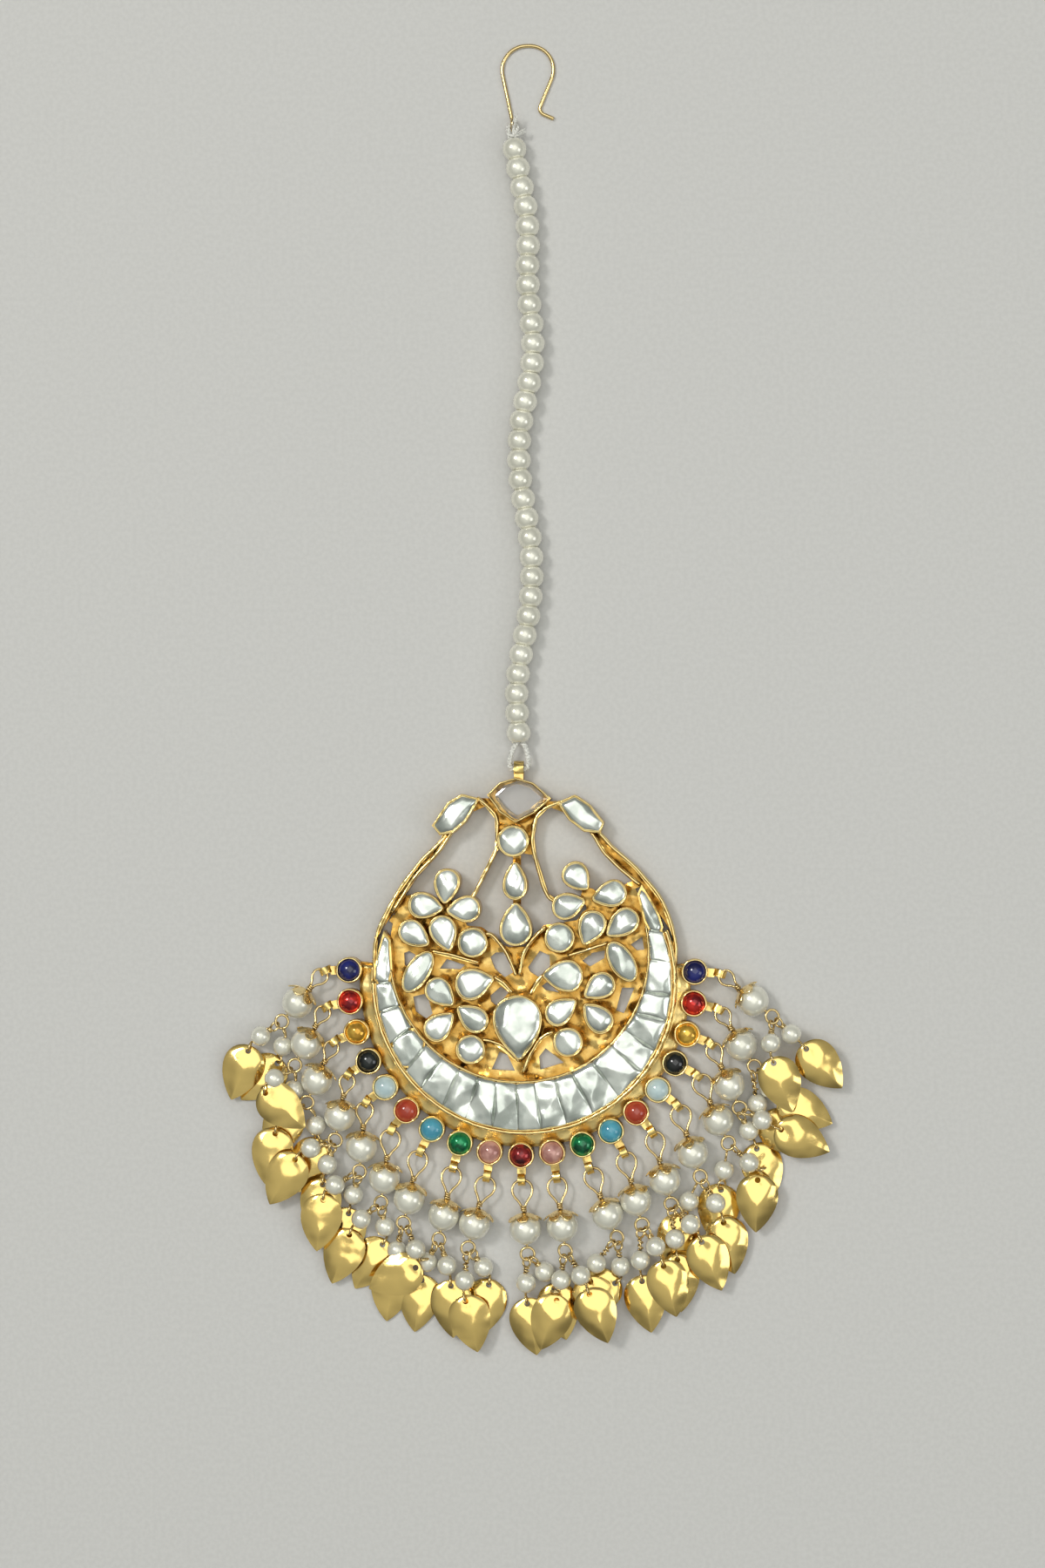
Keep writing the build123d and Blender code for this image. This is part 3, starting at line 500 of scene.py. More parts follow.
def cutGlass(shape, line, foot, girdle, planes, crease, roll):
    # The surface is the lowest of the planes, with soft creases, and rolls off at its edge.
    cx, cy = lineMiddle(line)
    rows = [[(p[0], p[1], foot) for p in line]]
    for share in stoneLook["rings"]:
        row = []
        for p in line:
            x, y = (p[0] - cx) * share, (p[1] - cy) * share
            top = softLeast([h + gx * x + gy * y for h, gx, gy in planes], crease)
            row.append((cx + x, cy + y, girdle + max(0.0, top - girdle) * (1 - share ** roll)))
        rows.append(row)
    shape.rows(rows)
    last = len(shape.points) - len(line)
    shape.faces.append(tuple(last + i for i in range(len(line))))


def evenly(line, gap):
    # Points added on a closed line's long sides.
    dense = []
    for i, p in enumerate(line):
        q = line[(i + 1) % len(line)]
        parts = max(1, int((q - p).length / gap))
        dense += [p.lerp(q, k / parts) for k in range(parts)]
    return dense


def stoneLine(points, step):
    # Round stones get a smooth line; step 0 keeps the corners.
    line = [Vector((x, y, 0)) for x, y in outlineOf(points)]
    return ringLine(line, step) if step else evenly(line, stoneLook["gap"])


def stonePiece(node, name, rise, slope, sides, step, seed, crease):
    stones = Shape()
    rng = random.Random(seed)
    look = stoneLook
    girdle, lean = look["girdle"], look["lean"]
    for points in looseParts(node):
        line = offsetLine(stoneLine(points, step), look["grow"])
        centre = lineMiddle(line)
        first = rng.uniform(0, 6.3)
        planes = [(girdle + rise, rng.uniform(-lean, lean), rng.uniform(-lean, lean))]
        for k in range(sides):
            turn = first + 2 * math.pi * (k + rng.uniform(-0.3, 0.3)) / sides
            planes.append(sidePlane(line, centre, turn, slope * rng.uniform(0.65, 1.35), girdle + 0.12))
        cutGlass(stones, line, look["foot"], girdle, planes, crease, look["roll"])
    return stones.place(name, slotLooks[recordSlots[node]], [node])


# Step smooths a round stone's line, and 0 keeps the corners of a cut one.
stonePieces = {
    "field_stones": {"name": "field_stone_set", "rise": 0.66, "slope": 0.38, "sides": 5, "step": 4,
                     "seed": 11, "crease": 0.12},
    "centre_stone": {"name": "centre_stone_glass", "rise": 1.05, "slope": 0.36, "sides": 5, "step": 6,
                     "seed": 4, "crease": 0.14},
    "left_shoulder_stone": {"name": "left_shoulder_glass", "rise": 0.62, "slope": 0.42, "sides": 4,
                            "step": 0, "seed": 2, "crease": 0.12},
    "right_shoulder_stone": {"name": "right_shoulder_glass", "rise": 0.62, "slope": 0.42, "sides": 4,
                             "step": 0, "seed": 5, "crease": 0.12},
    "fan_stone": {"name": "fan_glass", "rise": 0.45, "slope": 0.40, "sides": 6, "step": 0, "seed": 3,
                  "crease": 0.03},
}
for node, look in stonePieces.items():
    stonePiece(node, **look)

# Slopes of the block's facets, by the side that they face.
crescentLook = {"foot": 3.0, "girdle": 4.24, "top": 4.70, "grow": 0.24, "side": 0.62, "inner": 0.45,
                "outer": 0.30, "corner": 0.42, "cornerTurn": 0.75, "crease": 0.035, "roll": 24.0, "gap": 0.28}


def squared(line):
    # A block with its cut corners put back, where its four long sides allow.
    count = len(line)
    sides = [(line[i], line[(i + 1) % count]) for i in range(count)]
    longest = max((b - a).length for a, b in sides)
    main = [side for side in sides if (side[1] - side[0]).length > 0.3 * longest]
    if len(main) != 4:
        return line
    corners = []
    for (a, b), (c, d) in zip(main, main[1:] + main[:1]):
        u, v = b - a, d - c
        cross = u.x * v.y - u.y * v.x
        corners.append(a + u * (((c.x - a.x) * v.y - (c.y - a.y) * v.x) / cross))
    return corners


def crescentPiece():
    stones = Shape()
    rng = random.Random(8)
    look = crescentLook
    for points in looseParts("crescent_stones"):
        block = squared([Vector((x, y, 0)) for x, y in outlineOf(points)])
        line = offsetLine(evenly(block, look["gap"]), look["grow"])
        centre = lineMiddle(line)
        out = math.atan2(centre[1] - centreY, centre[0] - centreX)
        ridge = out + rng.choice((-1, 1)) * rng.uniform(0.5, 1.2)
        planes = []
        for turn, lean in ((ridge, rng.uniform(0.06, 0.30)), (ridge + math.pi, rng.uniform(0.0, 0.22))):
            planes.append((look["top"], -lean * math.cos(turn), -lean * math.sin(turn)))
        facets = [(0, look["outer"]), (math.pi, look["inner"]), (math.pi / 2, look["side"]),
                  (-math.pi / 2, look["side"]), (look["cornerTurn"], look["corner"]),
                  (-look["cornerTurn"], look["corner"])]
        for turn, slope in facets:
            turn = out + turn + rng.uniform(-0.12, 0.12)
            planes.append(sidePlane(line, centre, turn, slope * rng.uniform(0.65, 1.35), look["girdle"]))
        cutGlass(stones, line, look["foot"], look["girdle"] - 0.1, planes, look["crease"], look["roll"])
    return stones.place("crescent_stone_row", foiled, ["crescent_stones"])


crescentPiece()
print("stones made")

lipLook = {"top": 3.64, "depth": 1.5, "width": 0.30, "out": 0.34, "uneven": 0.07}
cupLook = {"radius": 1.83, "top": 3.16, "depth": 0.8, "width": 0.36, "corners": 48, "uneven": 0.10}


def bezelLips():
    lips = Shape()
    look = lipLook
    profile = lipProfile(look["top"], look["depth"], look["width"])
    seed = 0.0
    for node, step in (("field_stones", 5), ("centre_stone", 6), ("left_shoulder_stone", 0),
                       ("right_shoulder_stone", 0), ("fan_stone", 0)):
        for points in looseParts(node):
            seed += 5.3
            line = offsetLine(stoneLine(points, step), look["out"])
            swept(lips, line, profile, True, seed, look["uneven"])
    look = cupLook
    profile = lipProfile(look["top"], look["depth"], look["width"])
    for spot in cupSpots:
        seed += 3.1
        line = [Vector((spot.x + look["radius"] * math.cos(t), spot.y + look["radius"] * math.sin(t)))
                for t in np.linspace(0, 2 * math.pi, look["corners"], endpoint=False)]
        swept(lips, line, profile, True, seed, look["uneven"])
    return lips.place("bezel_lips", golds["lip_gold"])


def arcLine(radius, start, end, x=0.0, y=0.0):
    # An arc round a spot from the crescent's centre, with a corner every 1.2 degrees.
    line = []
    for turn in np.linspace(start, end, int(abs(end - start) / 1.2)):
        t = math.radians(turn)
        line.append(Vector((*fromCentre(x + radius * math.cos(t), y + radius * math.sin(t)), 0)))
    return line


# Lines of the gold strips on edge, from the crescent's centre.
strips = {
    "left_column": [(-7.2, 28.0), (-5.6, 26.7), (-4.2, 24.9), (-4.1, 22.0), (-4.2, 20.2), (-7.5, 13.5),
                    (-8.3, 12.4)],
    "right_column": [(5.6, 27.4), (3.4, 26.5), (1.8, 24.9), (1.3, 22.0), (1.6, 19.2), (3.5, 13.2),
                     (5.2, 12.2)],
    "left_stem": [(-5.8, 7.2), (-4.9, 7.0), (-3.5, 5.5), (-2.2, 3.4), (-1.2, 0.9)],
    "right_stem": [(3.3, 8.3), (2.0, 7.2), (0.6, 5.5), (-0.2, 3.8), (-0.7, 1.0)],
    "left_bar": [(-14.3, 4.6), (-10.6, 3.9), (-7.0, 2.8)],
    "right_bar": [(12.8, 5.9), (9.8, 4.9), (6.7, 3.9)],
    "left_spray": [(-4.6, 0.7), (-3.1, -0.3), (-1.8, -1.7)],
    "right_spray": [(2.9, 1.0), (1.8, -0.3), (0.9, -2.0)],
    "left_foot": [(-6.3, -8.9), (-4.5, -9.3), (-2.6, -10.4), (-0.8, -12.2)],
    "right_foot": [(4.5, -7.6), (2.7, -8.6), (1.0, -11.0), (-0.2, -14.0)],
    "left_inner": [(-20.3, 10.4), (-16.8, 15.9), (-13.3, 19.6), (-10.9, 23.1)],
    "right_inner": [(17.8, 14.7), (14.6, 17.3), (12.5, 19.4), (10.2, 22.9)],
    "left_outer": [(-23.0, -0.4), (-22.7, 6.7), (-19.8, 12.9), (-16.0, 18.1), (-12.5, 21.6), (-12.0, 23.2)],
    "right_outer": [(23.1, 2.3), (23.0, 6.7), (21.1, 12.3), (17.1, 17.3), (13.4, 20.6), (11.4, 22.8)],
}
# Arcs of the rims: radius, start and end in degrees, and for the inner one its own centre.
rimLook = {"stoneArc": (22.62, 180, 380), "outerArc": (23.05, 180, 380), "ledgeArc": (24.0, 174.5, 366),
           "innerArc": (19.78, 188, 372, -0.7, 4.5), "stoneTop": 4.27, "stoneDepth": 1.2, "stoneWidth": 0.26,
           "innerTop": 4.12, "innerDepth": 1.5, "innerWidth": 0.34, "uneven": 0.07, "ledgeUneven": 0.08}
stripLook = {"top": 2.92, "depth": 1.8, "width": 0.50, "uneven": 0.10}
outerProfile = [(-0.324, 2.0, 0), (-0.306, 3.95, 1), (-0.108, 4.12, 1), (0.126, 4.08, 1), (0.288, 3.80, 1),
                (0.378, 3.2, 1), (0.396, 0.9, 0)]
ledgeProfile = [(-0.80, 0.6, 0), (-0.78, 2.3, 1), (-0.4, 2.08, 1), (0.1, 1.92, 1), (0.7, 1.78, 1),
                (1.20, 1.62, 1), (1.36, 1.3, 1), (1.40, 0.7, 0)]


def rimsAndStrips():
    trim = Shape()
    look = rimLook
    stoneProfile = lipProfile(look["stoneTop"], look["stoneDepth"], look["stoneWidth"])
    innerProfile = lipProfile(look["innerTop"], look["innerDepth"], look["innerWidth"])
    swept(trim, arcLine(*look["stoneArc"]), stoneProfile, False, 2.0, look["uneven"])
    swept(trim, arcLine(*look["outerArc"]), outerProfile, False, 3.0, look["uneven"])
    swept(trim, arcLine(*look["innerArc"]), innerProfile, False, 4.0, look["uneven"])
    band = Shape()
    swept(band, arcLine(*look["ledgeArc"]), ledgeProfile, False, 6.0, look["ledgeUneven"])
    band.place("ledge_band", golds["ledge_gold"])
    look = stripLook
    profile = lipProfile(look["top"], look["depth"], look["width"])
    for index, points in enumerate(strips.values()):
        line = openLine([Vector((*fromCentre(x, y), 0)) for x, y in points], 6)
        swept(trim, line, profile, False, 9.0 + index * 3, look["uneven"])
    return trim.place("rims_and_strips", golds["lip_gold"])


bezelLips()
rimsAndStrips()
print("bezels and strips made")


def ball(shape, centre, axis, radius, hole, seed, squash, around, along):
    # A drilled ball with a slightly uneven skin. Squash is the share of its length that its flat ends leave.
    axis = Vector(axis)
    side = axis.cross(upward).normalized()
    over = side.cross(axis)
    start = max(math.asin(hole / radius), math.acos(squash))
    rows = []
    for i in range(along + 1):
        t = start + (math.pi - 2 * start) * i / along
        row = []
        for k in range(around):
            u = 2 * math.pi * k / around
            p = axis * math.cos(t) + side * (math.sin(t) * math.cos(u)) + over * (math.sin(t) * math.sin(u))
            row.append(tuple(centre + p * radius * (0.994 + 0.005 * rough(p, 0.8, seed))))
        rows.append(row)
    flats = []
    for end in (0.7, 0.999, -0.999, -0.7):
        seat = centre + axis * (math.cos(start) * radius * end)
        flats.append([tuple(seat + side * (hole * math.cos(u)) + over * (hole * math.sin(u)))
                      for u in (2 * math.pi * k / around for k in range(around))])
    shape.rows(flats[:2] + rows + flats[2:])


# Sizes of the drops and links, as the solids have them. Loop and loopNeck are times the drop's own size.
# Height is the drop pearls', and near is how close to a pearl its own wire is looked for.
dropLook = {"height": 2.45, "near": 3.0, "neck": 3.4, "loop": 1.5, "loopNeck": 2.6, "tilt": 13, "ring": 1.05,
            "ringReach": 3.8, "wire": 0.20}
linkLook = {"near": 2.0, "loop": 0.75, "loopEdge": 0.93, "end": 1.83, "eye": 0.65, "wire": 0.18}
dropPearlLook = {"radius": 2.44, "hole": 0.3, "squash": 0.99, "around": 28, "along": 18}
linkPearlLook = {"radius": 1.54, "hole": 0.28, "squash": 0.98, "around": 20, "along": 12}
stringPearlLook = {"radius": 1.88, "hole": 0.42, "squash": 0.80, "around": 22, "along": 14}
# The ends of a wire lie within this of its furthest corner.
endBand = 0.06


def sidesTouched(part, centre, reach):
    # How many corners a wire has near a bead on each of its two ends.
    away = part - np.array(centre)
    away = away[np.linalg.norm(away, axis=1) < reach]
    if len(away) < 6:
        return 0
    along = away @ np.linalg.eigh(away.T @ away)[1][:, 2] / np.linalg.norm(away, axis=1)
    return min((along > 0.9).sum(), (along < -0.9).sum())


def wireOf(parts, centre, reach):
    return max(parts, key=lambda part: sidesTouched(part, centre, reach))


wireParts = looseParts("drop_wires")
drops = []
for index, name in enumerate(dropPearls):
    centre = boxMiddle(name)
    centre.z = dropLook["height"]
    away = wireOf(wireParts, centre, dropLook["near"]) - np.array(centre)
    level = np.hypot(away[:, 0], away[:, 1])
    tips = away[level > level.max() - endBand].mean(0)
    hang = -Vector((tips[0], tips[1], 0)).normalized()
    slant = math.cos(math.radians(dropLook["tilt"]))
    size = ((level.max() - dropLook["neck"]) / slant - 0.18) / (dropLook["loop"] + dropLook["loopNeck"])
    drops.append({"centre": centre, "hang": hang, "size": size, "seed": index * 1.9})

bigPearls = Shape()
for drop in drops:
    ball(bigPearls, drop["centre"], drop["hang"], seed=drop["seed"], **dropPearlLook)
bigPearls.place("drop_pearls", pearl, dropPearls)

linkParts = looseParts("link_wires")
links = []
smallPearls = Shape()
for index, points in enumerate(looseParts("small_pearls")):
    centre = Vector(middleOf(points))
    wire = wireOf(linkParts, centre, linkLook["near"])
    away = wire - np.array(centre)
    rings = [drop["centre"] + drop["hang"] * dropLook["ringReach"] for drop in drops]
    ringSpot = min(rings, key=lambda spot: (spot - centre).length)
    upper = away[away @ np.array(ringSpot - centre) > 0]
    length = np.linalg.norm(upper, axis=1)
    axis = -Vector(upper[length > length.max() - endBand].mean(0)).normalized()
    end = centre + axis * linkLook["end"]
    beyond = wire[away @ np.array(axis) > linkLook["end"] - 0.1]
    far = beyond[np.argmax(np.hypot(beyond[:, 0] - end.x, beyond[:, 1] - end.y))]
    eyeWay = Vector((far[0] - end.x, far[1] - end.y, 0)).normalized()
    links.append({"centre": centre, "axis": axis, "reach": length.max() - linkLook["loopEdge"], "end": end,
                  "eyeWay": eyeWay, "seed": index * 2.3})
    ball(smallPearls, centre, axis, seed=index, **linkPearlLook)
smallPearls.place("link_pearls", pearl, ["small_pearls"])

stringParts = sorted(looseParts("string_pearls"), key=lambda part: -middleOf(part)[1])
stringSpots = [Vector(middleOf(part)) for part in stringParts]
stringPearls = Shape()
for index, spot in enumerate(stringSpots):
    before = stringSpots[max(index - 1, 0)]
    after = stringSpots[min(index + 1, len(stringSpots) - 1)]
    ball(stringPearls, spot, (before - after).normalized(), seed=index * 1.3, **stringPearlLook)
stringPearls.place("string_pearl_row", pearl, ["string_pearls"])
print("pearls made")

# Start, body and petal are degrees over the pearl, from its drilled end.
capLook = {"petals": 6, "start": 8, "body": 31, "petal": 25, "lift": 0.26, "thick": 0.07, "gap": 0.03,
           "edge": 0.09, "around": 60, "along": 6}
dropCoilLook = {"radius": 0.36, "wire": 0.16, "turns": 2.7}
linkCoilLook = {"radius": 0.34, "wire": 0.15, "turns": 2.3}


def petalCap(shape, drop):
    # A thin scalloped cap that hugs the pearl, with slightly lifted tips.
    back = -drop["hang"]
    side = back.cross(upward).normalized()
    over = side.cross(back)
    look = capLook
    around, along = look["around"], look["along"]
    for lining in (0.0, look["thick"]):
        rows = []
        for i in range(along + 1):
            row = []
            for k in range(around):
                u = 2 * math.pi * k / around
                petal = abs(math.cos(look["petals"] / 2 * u + drop["seed"])) ** 0.7
                uneven = 1 + 0.5 * rough((math.cos(u), math.sin(u), 0), 0.7, drop["seed"])
                whole = look["body"] + look["petal"] * petal * uneven
                reach = math.radians(look["start"] + whole * i / along)
                lift = look["lift"] * (i / along) ** 3 * (0.3 + petal) * uneven
                r = dropPearlLook["radius"] + look["gap"] + lining + lift
                p = drop["centre"] + back * (r * math.cos(reach)) + side * (r * math.sin(reach) * math.cos(u))
                p += over * (r * math.sin(reach) * math.sin(u))
                row.append((p.x, p.y, max(p.z, 0.10)))
            rows.append(row)
        shape.rows(rows if lining else rows[::-1])
    shape.rows(tubeRows([Vector(p) for p in rows[-1]], look["edge"], 6, True), closedAlong=True)


def coil(shape, start, axis, length, radius, wire, turns, seed):
    # Wrapped wire whose tail stands out at its end.
    axis = Vector(axis).normalized()
    side = axis.cross(upward).normalized()
    over = side.cross(axis)
    first = random.Random(int(seed * 1000)).uniform(0, 6.3)
    count = int(turns * 14)
    path = []
    for i in range(count + 1):
        t = i / count
        r = radius * (1 + 0.07 * math.sin(9 * t + seed)) + max(0.0, t - 0.92) * 5 * radius
        u = first + turns * 2 * math.pi * t
        path.append(Vector(start) + axis * (length * t) + side * (r * math.cos(u)) + over * (r * math.sin(u)))
    shape.rows(tubeRows(path, wire, 6), caps=True)


def wireRing(shape, centre, way, over, radius, wire, seed):
    # A bent ring, a little out of round.
    path = []
    for k in range(30):
        t = 2 * math.pi * k / 30
        r = radius * (0.965 + 0.035 * math.sin(2 * t + seed))
        path.append(centre + way * (r * math.cos(t)) + over * (r * math.sin(t)))
    shape.rows(tubeRows(path, wire, 8, True), closedAlong=True)


def dropWire(shape, drop):
    look = dropLook
    hang, centre = drop["hang"], drop["centre"]
    side = upward.cross(hang).normalized()
    tilt = math.radians(look["tilt"])
    back = -hang * math.cos(tilt) - upward * math.sin(tilt)
    neck = centre - hang * look["neck"]
    r, n = look["loop"] * drop["size"], look["loopNeck"] * drop["size"]
    rng = random.Random(int(drop["seed"] * 10))
    half = [(-0.2, 0.16), (0.28 * n, 0.40 * r), (0.66 * n, 0.86 * r), (n + 0.10 * r, r),
            (n + 0.72 * r, 0.70 * r)]
    left, right = rng.uniform(0.90, 1.05), rng.uniform(0.90, 1.05)
    points = [neck + back * u + side * v * left for u, v in half]
    points.append(neck + back * (n + r))
    points += [neck + back * u - side * v * right for u, v in half[::-1]]
    shape.rows(tubeRows(openLine(points, 6), look["wire"], 8), caps=True)
    coil(shape, centre - hang * (look["neck"] + 0.12), hang, 0.85, seed=drop["seed"], **dropCoilLook)
    shape.rows(tubeRows([neck, centre - hang * 2.3], look["wire"], 8), caps=True)
    ringCentre = centre + hang * look["ringReach"]
    shape.rows(tubeRows([centre + hang * 2.3, ringCentre - hang * look["ring"]], look["wire"], 8), caps=True)
    lean = math.radians(rng.uniform(-12, 12))
    across = side * math.cos(lean) + upward * math.sin(lean)
    wireRing(shape, ringCentre, hang, across, look["ring"], look["wire"], drop["seed"])


def linkWire(shape, link):
    look = linkLook
    axis = link["axis"]
    side = upward.cross(axis).normalized()
    over = axis.cross(side)
    loopCentre = link["centre"] - axis * link["reach"]
    rng = random.Random(int(link["seed"] * 10))
    lean = math.radians(rng.choice((-1, 1)) * rng.uniform(25, 55))
    across = over * math.cos(lean) + side * math.sin(lean)
    wireRing(shape, loopCentre, axis, across, look["loop"], look["wire"], link["seed"])
    start = loopCentre + axis * look["loop"]
    shape.rows(tubeRows([start, link["centre"] - axis * 1.2], look["wire"], 8), caps=True)
    wound = max(0.3, link["reach"] - look["loop"] - linkPearlLook["radius"] + 0.05)
    coil(shape, start - axis * 0.05, axis, wound, seed=link["seed"], **linkCoilLook)
    shape.rows(tubeRows([link["centre"] + axis * 1.2, link["end"]], look["wire"], 8), caps=True)
    eyeCentre = link["end"] + link["eyeWay"] * look["eye"]
    wireRing(shape, eyeCentre, link["eyeWay"], upward, look["eye"], look["wire"], link["seed"] + 1)


caps = Shape()
dropWires = Shape()
linkWires = Shape()
for drop in drops:
    petalCap(caps, drop)
    dropWire(dropWires, drop)
for link in links:
    linkWire(linkWires, link)
caps.place("petal_caps", golds["cap_gold"], angle=50)
dropWires.place("drop_wire_set", golds["wire_gold"], ["drop_wires"])
linkWires.place("link_wire_set", golds["wire_gold"], ["link_wires"])
print("caps and wires made")

# Edge is how far the leaf reaches behind its hole. It stays between lowest and highest.
leafLook = {"length": 8.95, "width": 6.4, "edge": 0.85, "dome": 0.76, "thick": 0.16, "hole": 0.45,
            "toTip": 8.15, "sunk": 0.34, "uneven": 0.12, "unevenWave": 4.0, "lowest": 0.03, "highest": 5.7,
            "rings": 12, "around": 56}


def leafHeight(x, across):
    # Rounded by the hole, and a ridge towards the tip.
    t = min(1.0, max(0.0, (x + leafLook["edge"]) / leafLook["length"]))
    sharp = 2.6 - 1.5 * min(1.0, max(0.0, (t - 0.2) / 0.6))
    hump = math.sin(math.pi * t ** 0.85) ** 0.7
    dent = -0.18 * math.exp(-((x - 0.9) ** 2 / 0.7 + (across * 3) ** 2 / 1.4))
    return leafLook["dome"] * hump * (1 - abs(across) ** sharp) + dent


def halfWidth(turn):
    # A heart-like outline, from the tip at 0 round to the hole's end at half a turn.
    return leafLook["width"] / 2 * math.sin(turn) * abs(math.sin(turn / 2)) ** 0.75 / 0.813


def leafShape(shape, hole, along, normal, seed):
    across = Vector(normal).cross(Vector(along)).normalized()
    look = leafLook
    length, edge, rings = look["length"], look["edge"], look["rings"]
    bend = 0.30 * math.sin(seed * 5)
    dome = 0.94 + 0.20 * math.sin(seed * 7.3)
    rim = [(length / 2 * (1 + math.cos(t)) - edge, halfWidth(t))
           for t in np.linspace(0, 2 * math.pi, look["around"], False)]
    sheets = []
    for sheet in (0, 1):
        rows = []
        for i in range(rings + 1):
            s = (i / rings) ** 1.15
            row = []
            for rimX, rimY in rim:
                t = math.atan2(rimY, rimX)
                x = look["hole"] * math.cos(t) * (1 - s) + rimX * s
                y = look["hole"] * math.sin(t) * (1 - s) + rimY * s
                turn = math.acos(max(-1, min(1, (x + edge) / length * 2 - 1)))
                z = dome * leafHeight(x, max(-1, min(1, y / max(0.25, halfWidth(turn)))))
                z += look["uneven"] * rough((x, y, 0), look["unevenWave"], seed) + bend * (y / 3) * (x / 8)
                p = Vector(hole) + Vector(along) * x + across * y
                p += Vector(normal) * (z - look["sunk"] - sheet * look["thick"])
                row.append((p.x, p.y, min(max(p.z, look["lowest"]), look["highest"])))
            rows.append(row)
        sheets.append(rows)
    shape.rows(sheets[0])
    shape.rows(sheets[1][::-1])
    shape.rows([sheets[0][-1], sheets[1][-1]])
    shape.rows([sheets[1][0], sheets[0][0]])


leaves = Shape()
for index, points in enumerate(looseParts("leaves")):
    middle = points.mean(0)
    away = points - middle
    normal = Vector(np.linalg.eigh(away.T @ away)[1][:, 0])
    if normal.z < 0:
        normal = -normal
    tip = Vector(points[np.argmax(np.linalg.norm(away, axis=1))])
    along = tip - Vector(middle)
    along = (along - normal * along.dot(normal)).normalized()
    leafShape(leaves, tip - along * leafLook["toTip"], along, normal, index * 1.7)
leaves.place("leaf_set", golds["leaf_gold"], ["leaves"], angle=60)
print("leaves made")


def twisted(shape, path, radius, strand, pitch, seed):
    # Two plies wound round each other along the path.
    travelled = 0.0
    lines = [[], []]
    before = None
    for p, side, over in carried(path):
        if before is not None:
            travelled += (p - before).length
        before = p
        for n, line in enumerate(lines):
            u = travelled / pitch * 2 * math.pi + math.pi * n + seed
            line.append(p + side * (radius * math.cos(u)) + over * (radius * math.sin(u)))
    for line in lines:
        shape.rows(tubeRows(line, strand, 7), caps=True)


def tuft(shape, root, way, length, spread, count, seed):
    # Loose ends of the thread.
    rng = random.Random(seed)
    for _ in range(count):
        lean = Vector((rng.uniform(-1, 1), rng.uniform(-1, 1), rng.uniform(-0.4, 0.8))) * spread
        end = root + (Vector(way).normalized() + lean) * length * rng.uniform(0.6, 1.0)
        stray = Vector((rng.uniform(-1, 1), rng.uniform(-1, 1), rng.uniform(0, 1)))
        half = root.lerp(end, 0.5) + stray * 0.15
        for p in (half, end):
            p.z = max(p.z, 0.15)
        shape.rows(tubeRows(openLine([root, half, end], 4), 0.055, 5), caps=True)


# Where the thread's loops hold the hook's eye and the pendant's bail, from the crescent's centre. The core
# runs through the pearls.
threadLook = {"eye": (-1.8, 131.3), "eyeHeight": 1.14, "bail": (-0.8, 32.5), "bailHeight": 1.9, "core": 0.3}
threadShape = Shape()
top = stringSpots[0] + (stringSpots[0] - stringSpots[1]).normalized() * 2.0
low = stringSpots[-1] + (stringSpots[-1] - stringSpots[-2]).normalized() * 1.5
eyeSpot = Vector((*fromCentre(*threadLook["eye"]), threadLook["eyeHeight"]))
bailSpot = Vector((*fromCentre(*threadLook["bail"]), threadLook["bailHeight"]))


def around(spot, offsets):
    return [spot + Vector(offset) for offset in offsets]


loopTop = around(top, [(-0.2, -0.5, 0), (-0.6, 0.7, 0)])
loopTop += around(eyeSpot, [(-0.62, -0.4, 0.36), (0, 0.05, 0), (0.66, -0.5, 0.36)])
loopTop += around(top, [(0.55, 0.6, 0.2), (0.2, -0.5, 0)])
twisted(threadShape, openLine(loopTop, 8), 0.19, 0.22, 1.1, 0.3)
knot = [(math.cos(t * 1.9) * 0.5, 0.14 * t - 0.6, math.sin(t * 1.9) * 0.5) for t in np.linspace(0, 7, 24)]
twisted(threadShape, around(top, knot), 0.12, 0.16, 0.9, 1.2)
loopLow = around(low, [(0, 0.5, 0), (-0.9, -0.9, 0.1)])
loopLow += around(bailSpot, [(-1.45, 1.0, 0.1), (-1.05, 0, 0), (0, 0, 0), (1.05, 0, 0), (1.45, 1.0, 0.1)])
loopLow += around(low, [(1.0, -0.9, 0.1), (0, 0.5, 0)])
twisted(threadShape, openLine(loopLow, 8), 0.21, 0.25, 1.15, 0.9)
threadShape.rows(tubeRows(openLine([top] + stringSpots + [low], 2), threadLook["core"], 8), caps=True)
tuft(threadShape, top + Vector((0.1, 0.1, 0.3)), (0.15, 1.0, 0.0), 3.4, 0.10, 16, 3)
tuft(threadShape, top + Vector((0.2, -0.1, 0.3)), (1.0, 0.55, -0.2), 2.2, 0.16, 14, 5)
threadShape.place("twisted_thread", thread, ["string_thread"])
print("thread made")

# Every solid gets its slot's material, for the ones that no piece replaces.
for name, node in frame["nodes"].items():
    node.data.materials.clear()
    node.data.materials.append(slotLooks[recordSlots[name]])

floorLook = {"half": 1.5}
half = floorLook["half"]
floorCorners = [(-half, -half, 0), (half, -half, 0), (half, half, 0), (-half, half, 0)]
floorMesh = bpy.data.meshes.new("floor")
floorMesh.from_pydata(floorCorners, [], [(0, 1, 2, 3)])
floorMesh.materials.append(floorCoat)
floorPiece = bpy.data.objects.new("floor", floorMesh)
bpy.context.scene.collection.objects.link(floorPiece)

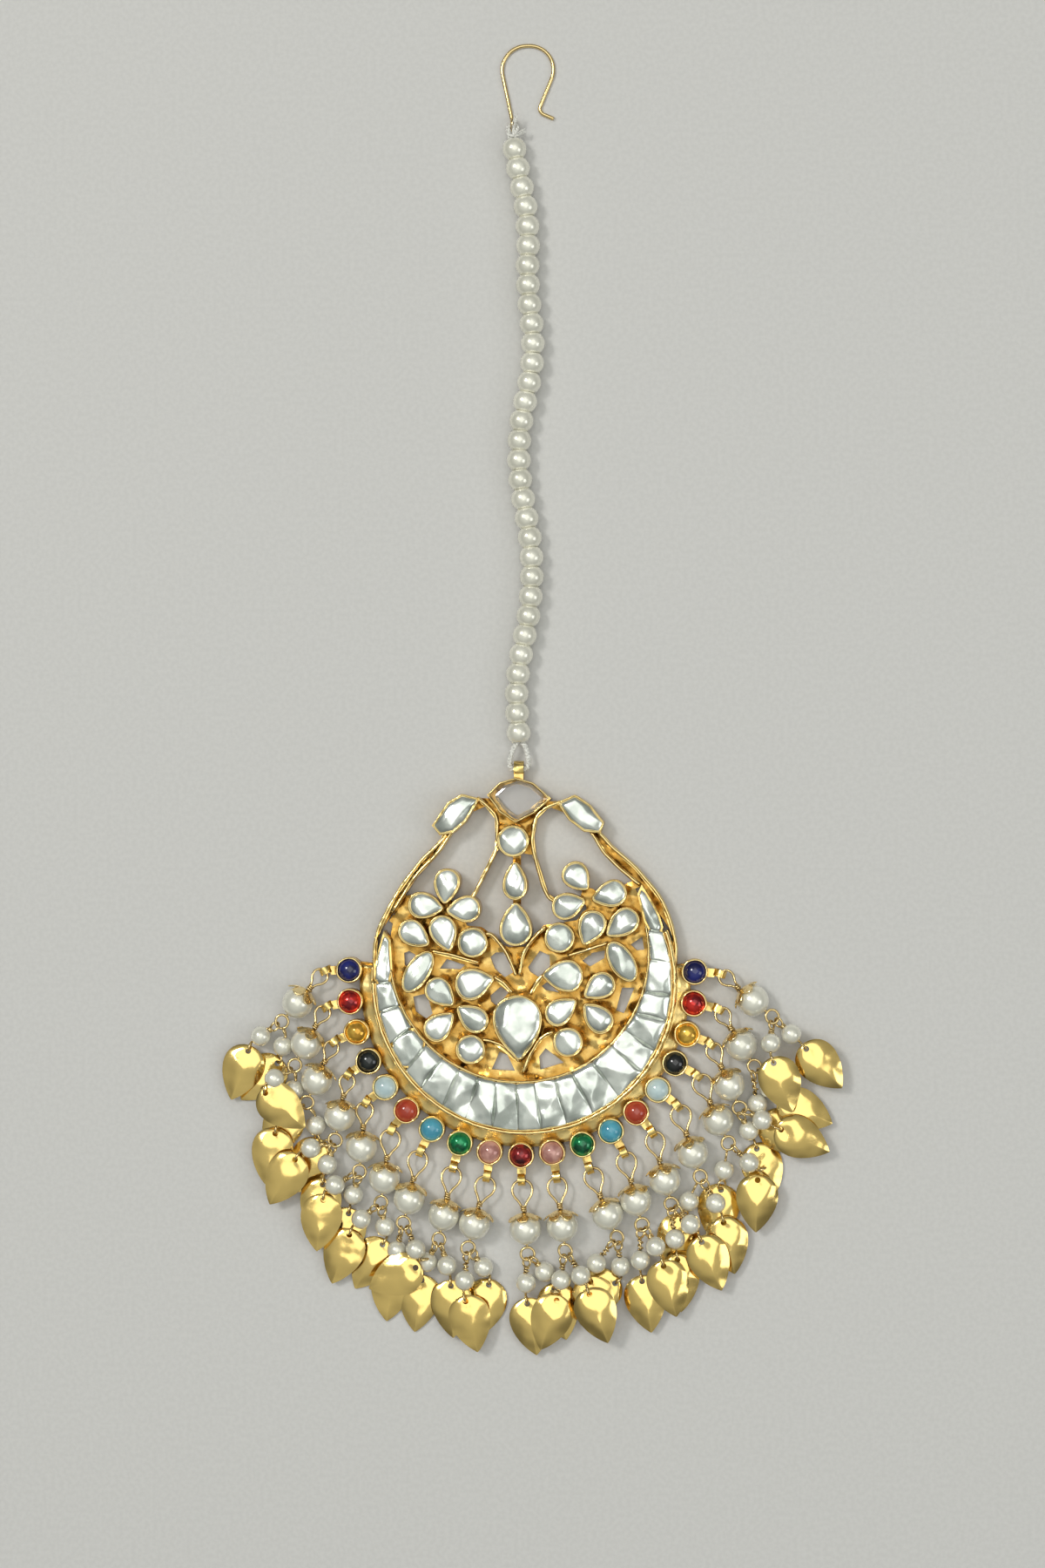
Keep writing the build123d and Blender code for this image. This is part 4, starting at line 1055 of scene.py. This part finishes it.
# The sky is level up to from, and grows lighter above it.
worldLook = {"low": (0.15, 0.154, 0.145), "high": (0.53, 0.55, 0.525), "from": 0.30}
world = bpy.data.worlds.new("studio")
bpy.context.scene.world = world
world.use_nodes = True
sky = Tree(world.node_tree)
height = sky.node("ShaderNodeSeparateXYZ", {}, {0: sky.node("ShaderNodeTexCoord", out="Generated")}, "Z")
sky.fill(world.node_tree.nodes["Background"].inputs["Color"],
         sky.mix(height.span(worldLook["from"], 1.0), worldLook["low"], worldLook["high"]))

lightLooks = {
    "overhead": {"spot": (0.18, 0.16, 1.6), "size": 1.3, "glow": 1.10, "colour": (1.0, 1.0, 0.98)},
    "key": {"spot": (-0.62, 0.40, 1.15), "size": 0.28, "glow": 20.0, "colour": (1.0, 0.99, 0.96)},
    "fill": {"spot": (0.95, -0.25, 0.75), "size": 0.50, "glow": 2.2, "colour": (0.96, 0.99, 1.0)},
}
lightAim = Vector((0, -0.03, 0))


def softbox(name, spot, size, glow, colour):
    light = bpy.data.lights.new(name, "AREA")
    light.shape = "RECTANGLE"
    light.size, light.size_y = size, size
    light.energy = math.pi * size * size * glow
    light.color = colour
    lamp = bpy.data.objects.new(name, light)
    bpy.context.scene.collection.objects.link(lamp)
    lamp.location = spot
    lamp.rotation_mode = "QUATERNION"
    lamp.rotation_quaternion = (lightAim - Vector(spot)).to_track_quat("-Z", "Y")


for name, look in lightLooks.items():
    softbox(name, **look)

# The camera looks down at its aim in mm from its distance in m, turned by degrees to the right and down.
cameraLook = {"lens": 75, "distance": 0.50, "right": 4.5, "down": 0.5, "aim": (-1.2, -13.2, 1.5)}
camera = bpy.data.objects.new("camera", bpy.data.cameras.new("camera"))
bpy.context.scene.collection.objects.link(camera)
bpy.context.scene.camera = camera
camera.data.sensor_width = 36
camera.data.lens = cameraLook["lens"]
right, down = math.radians(cameraLook["right"]), math.radians(cameraLook["down"])
back = Vector((math.sin(right), -math.sin(down), 1)).normalized()
camera.location = Vector(cameraLook["aim"]) * mm + back * cameraLook["distance"]
across = Vector((0, 1, 0)).cross(back).normalized()
camera.rotation_euler = Matrix((across, back.cross(across), back)).transposed().to_euler()
camera.data.clip_start, camera.data.clip_end = 0.01, 10
bpy.context.scene.view_settings.view_transform = "Standard"
print("floor, lights and camera made")
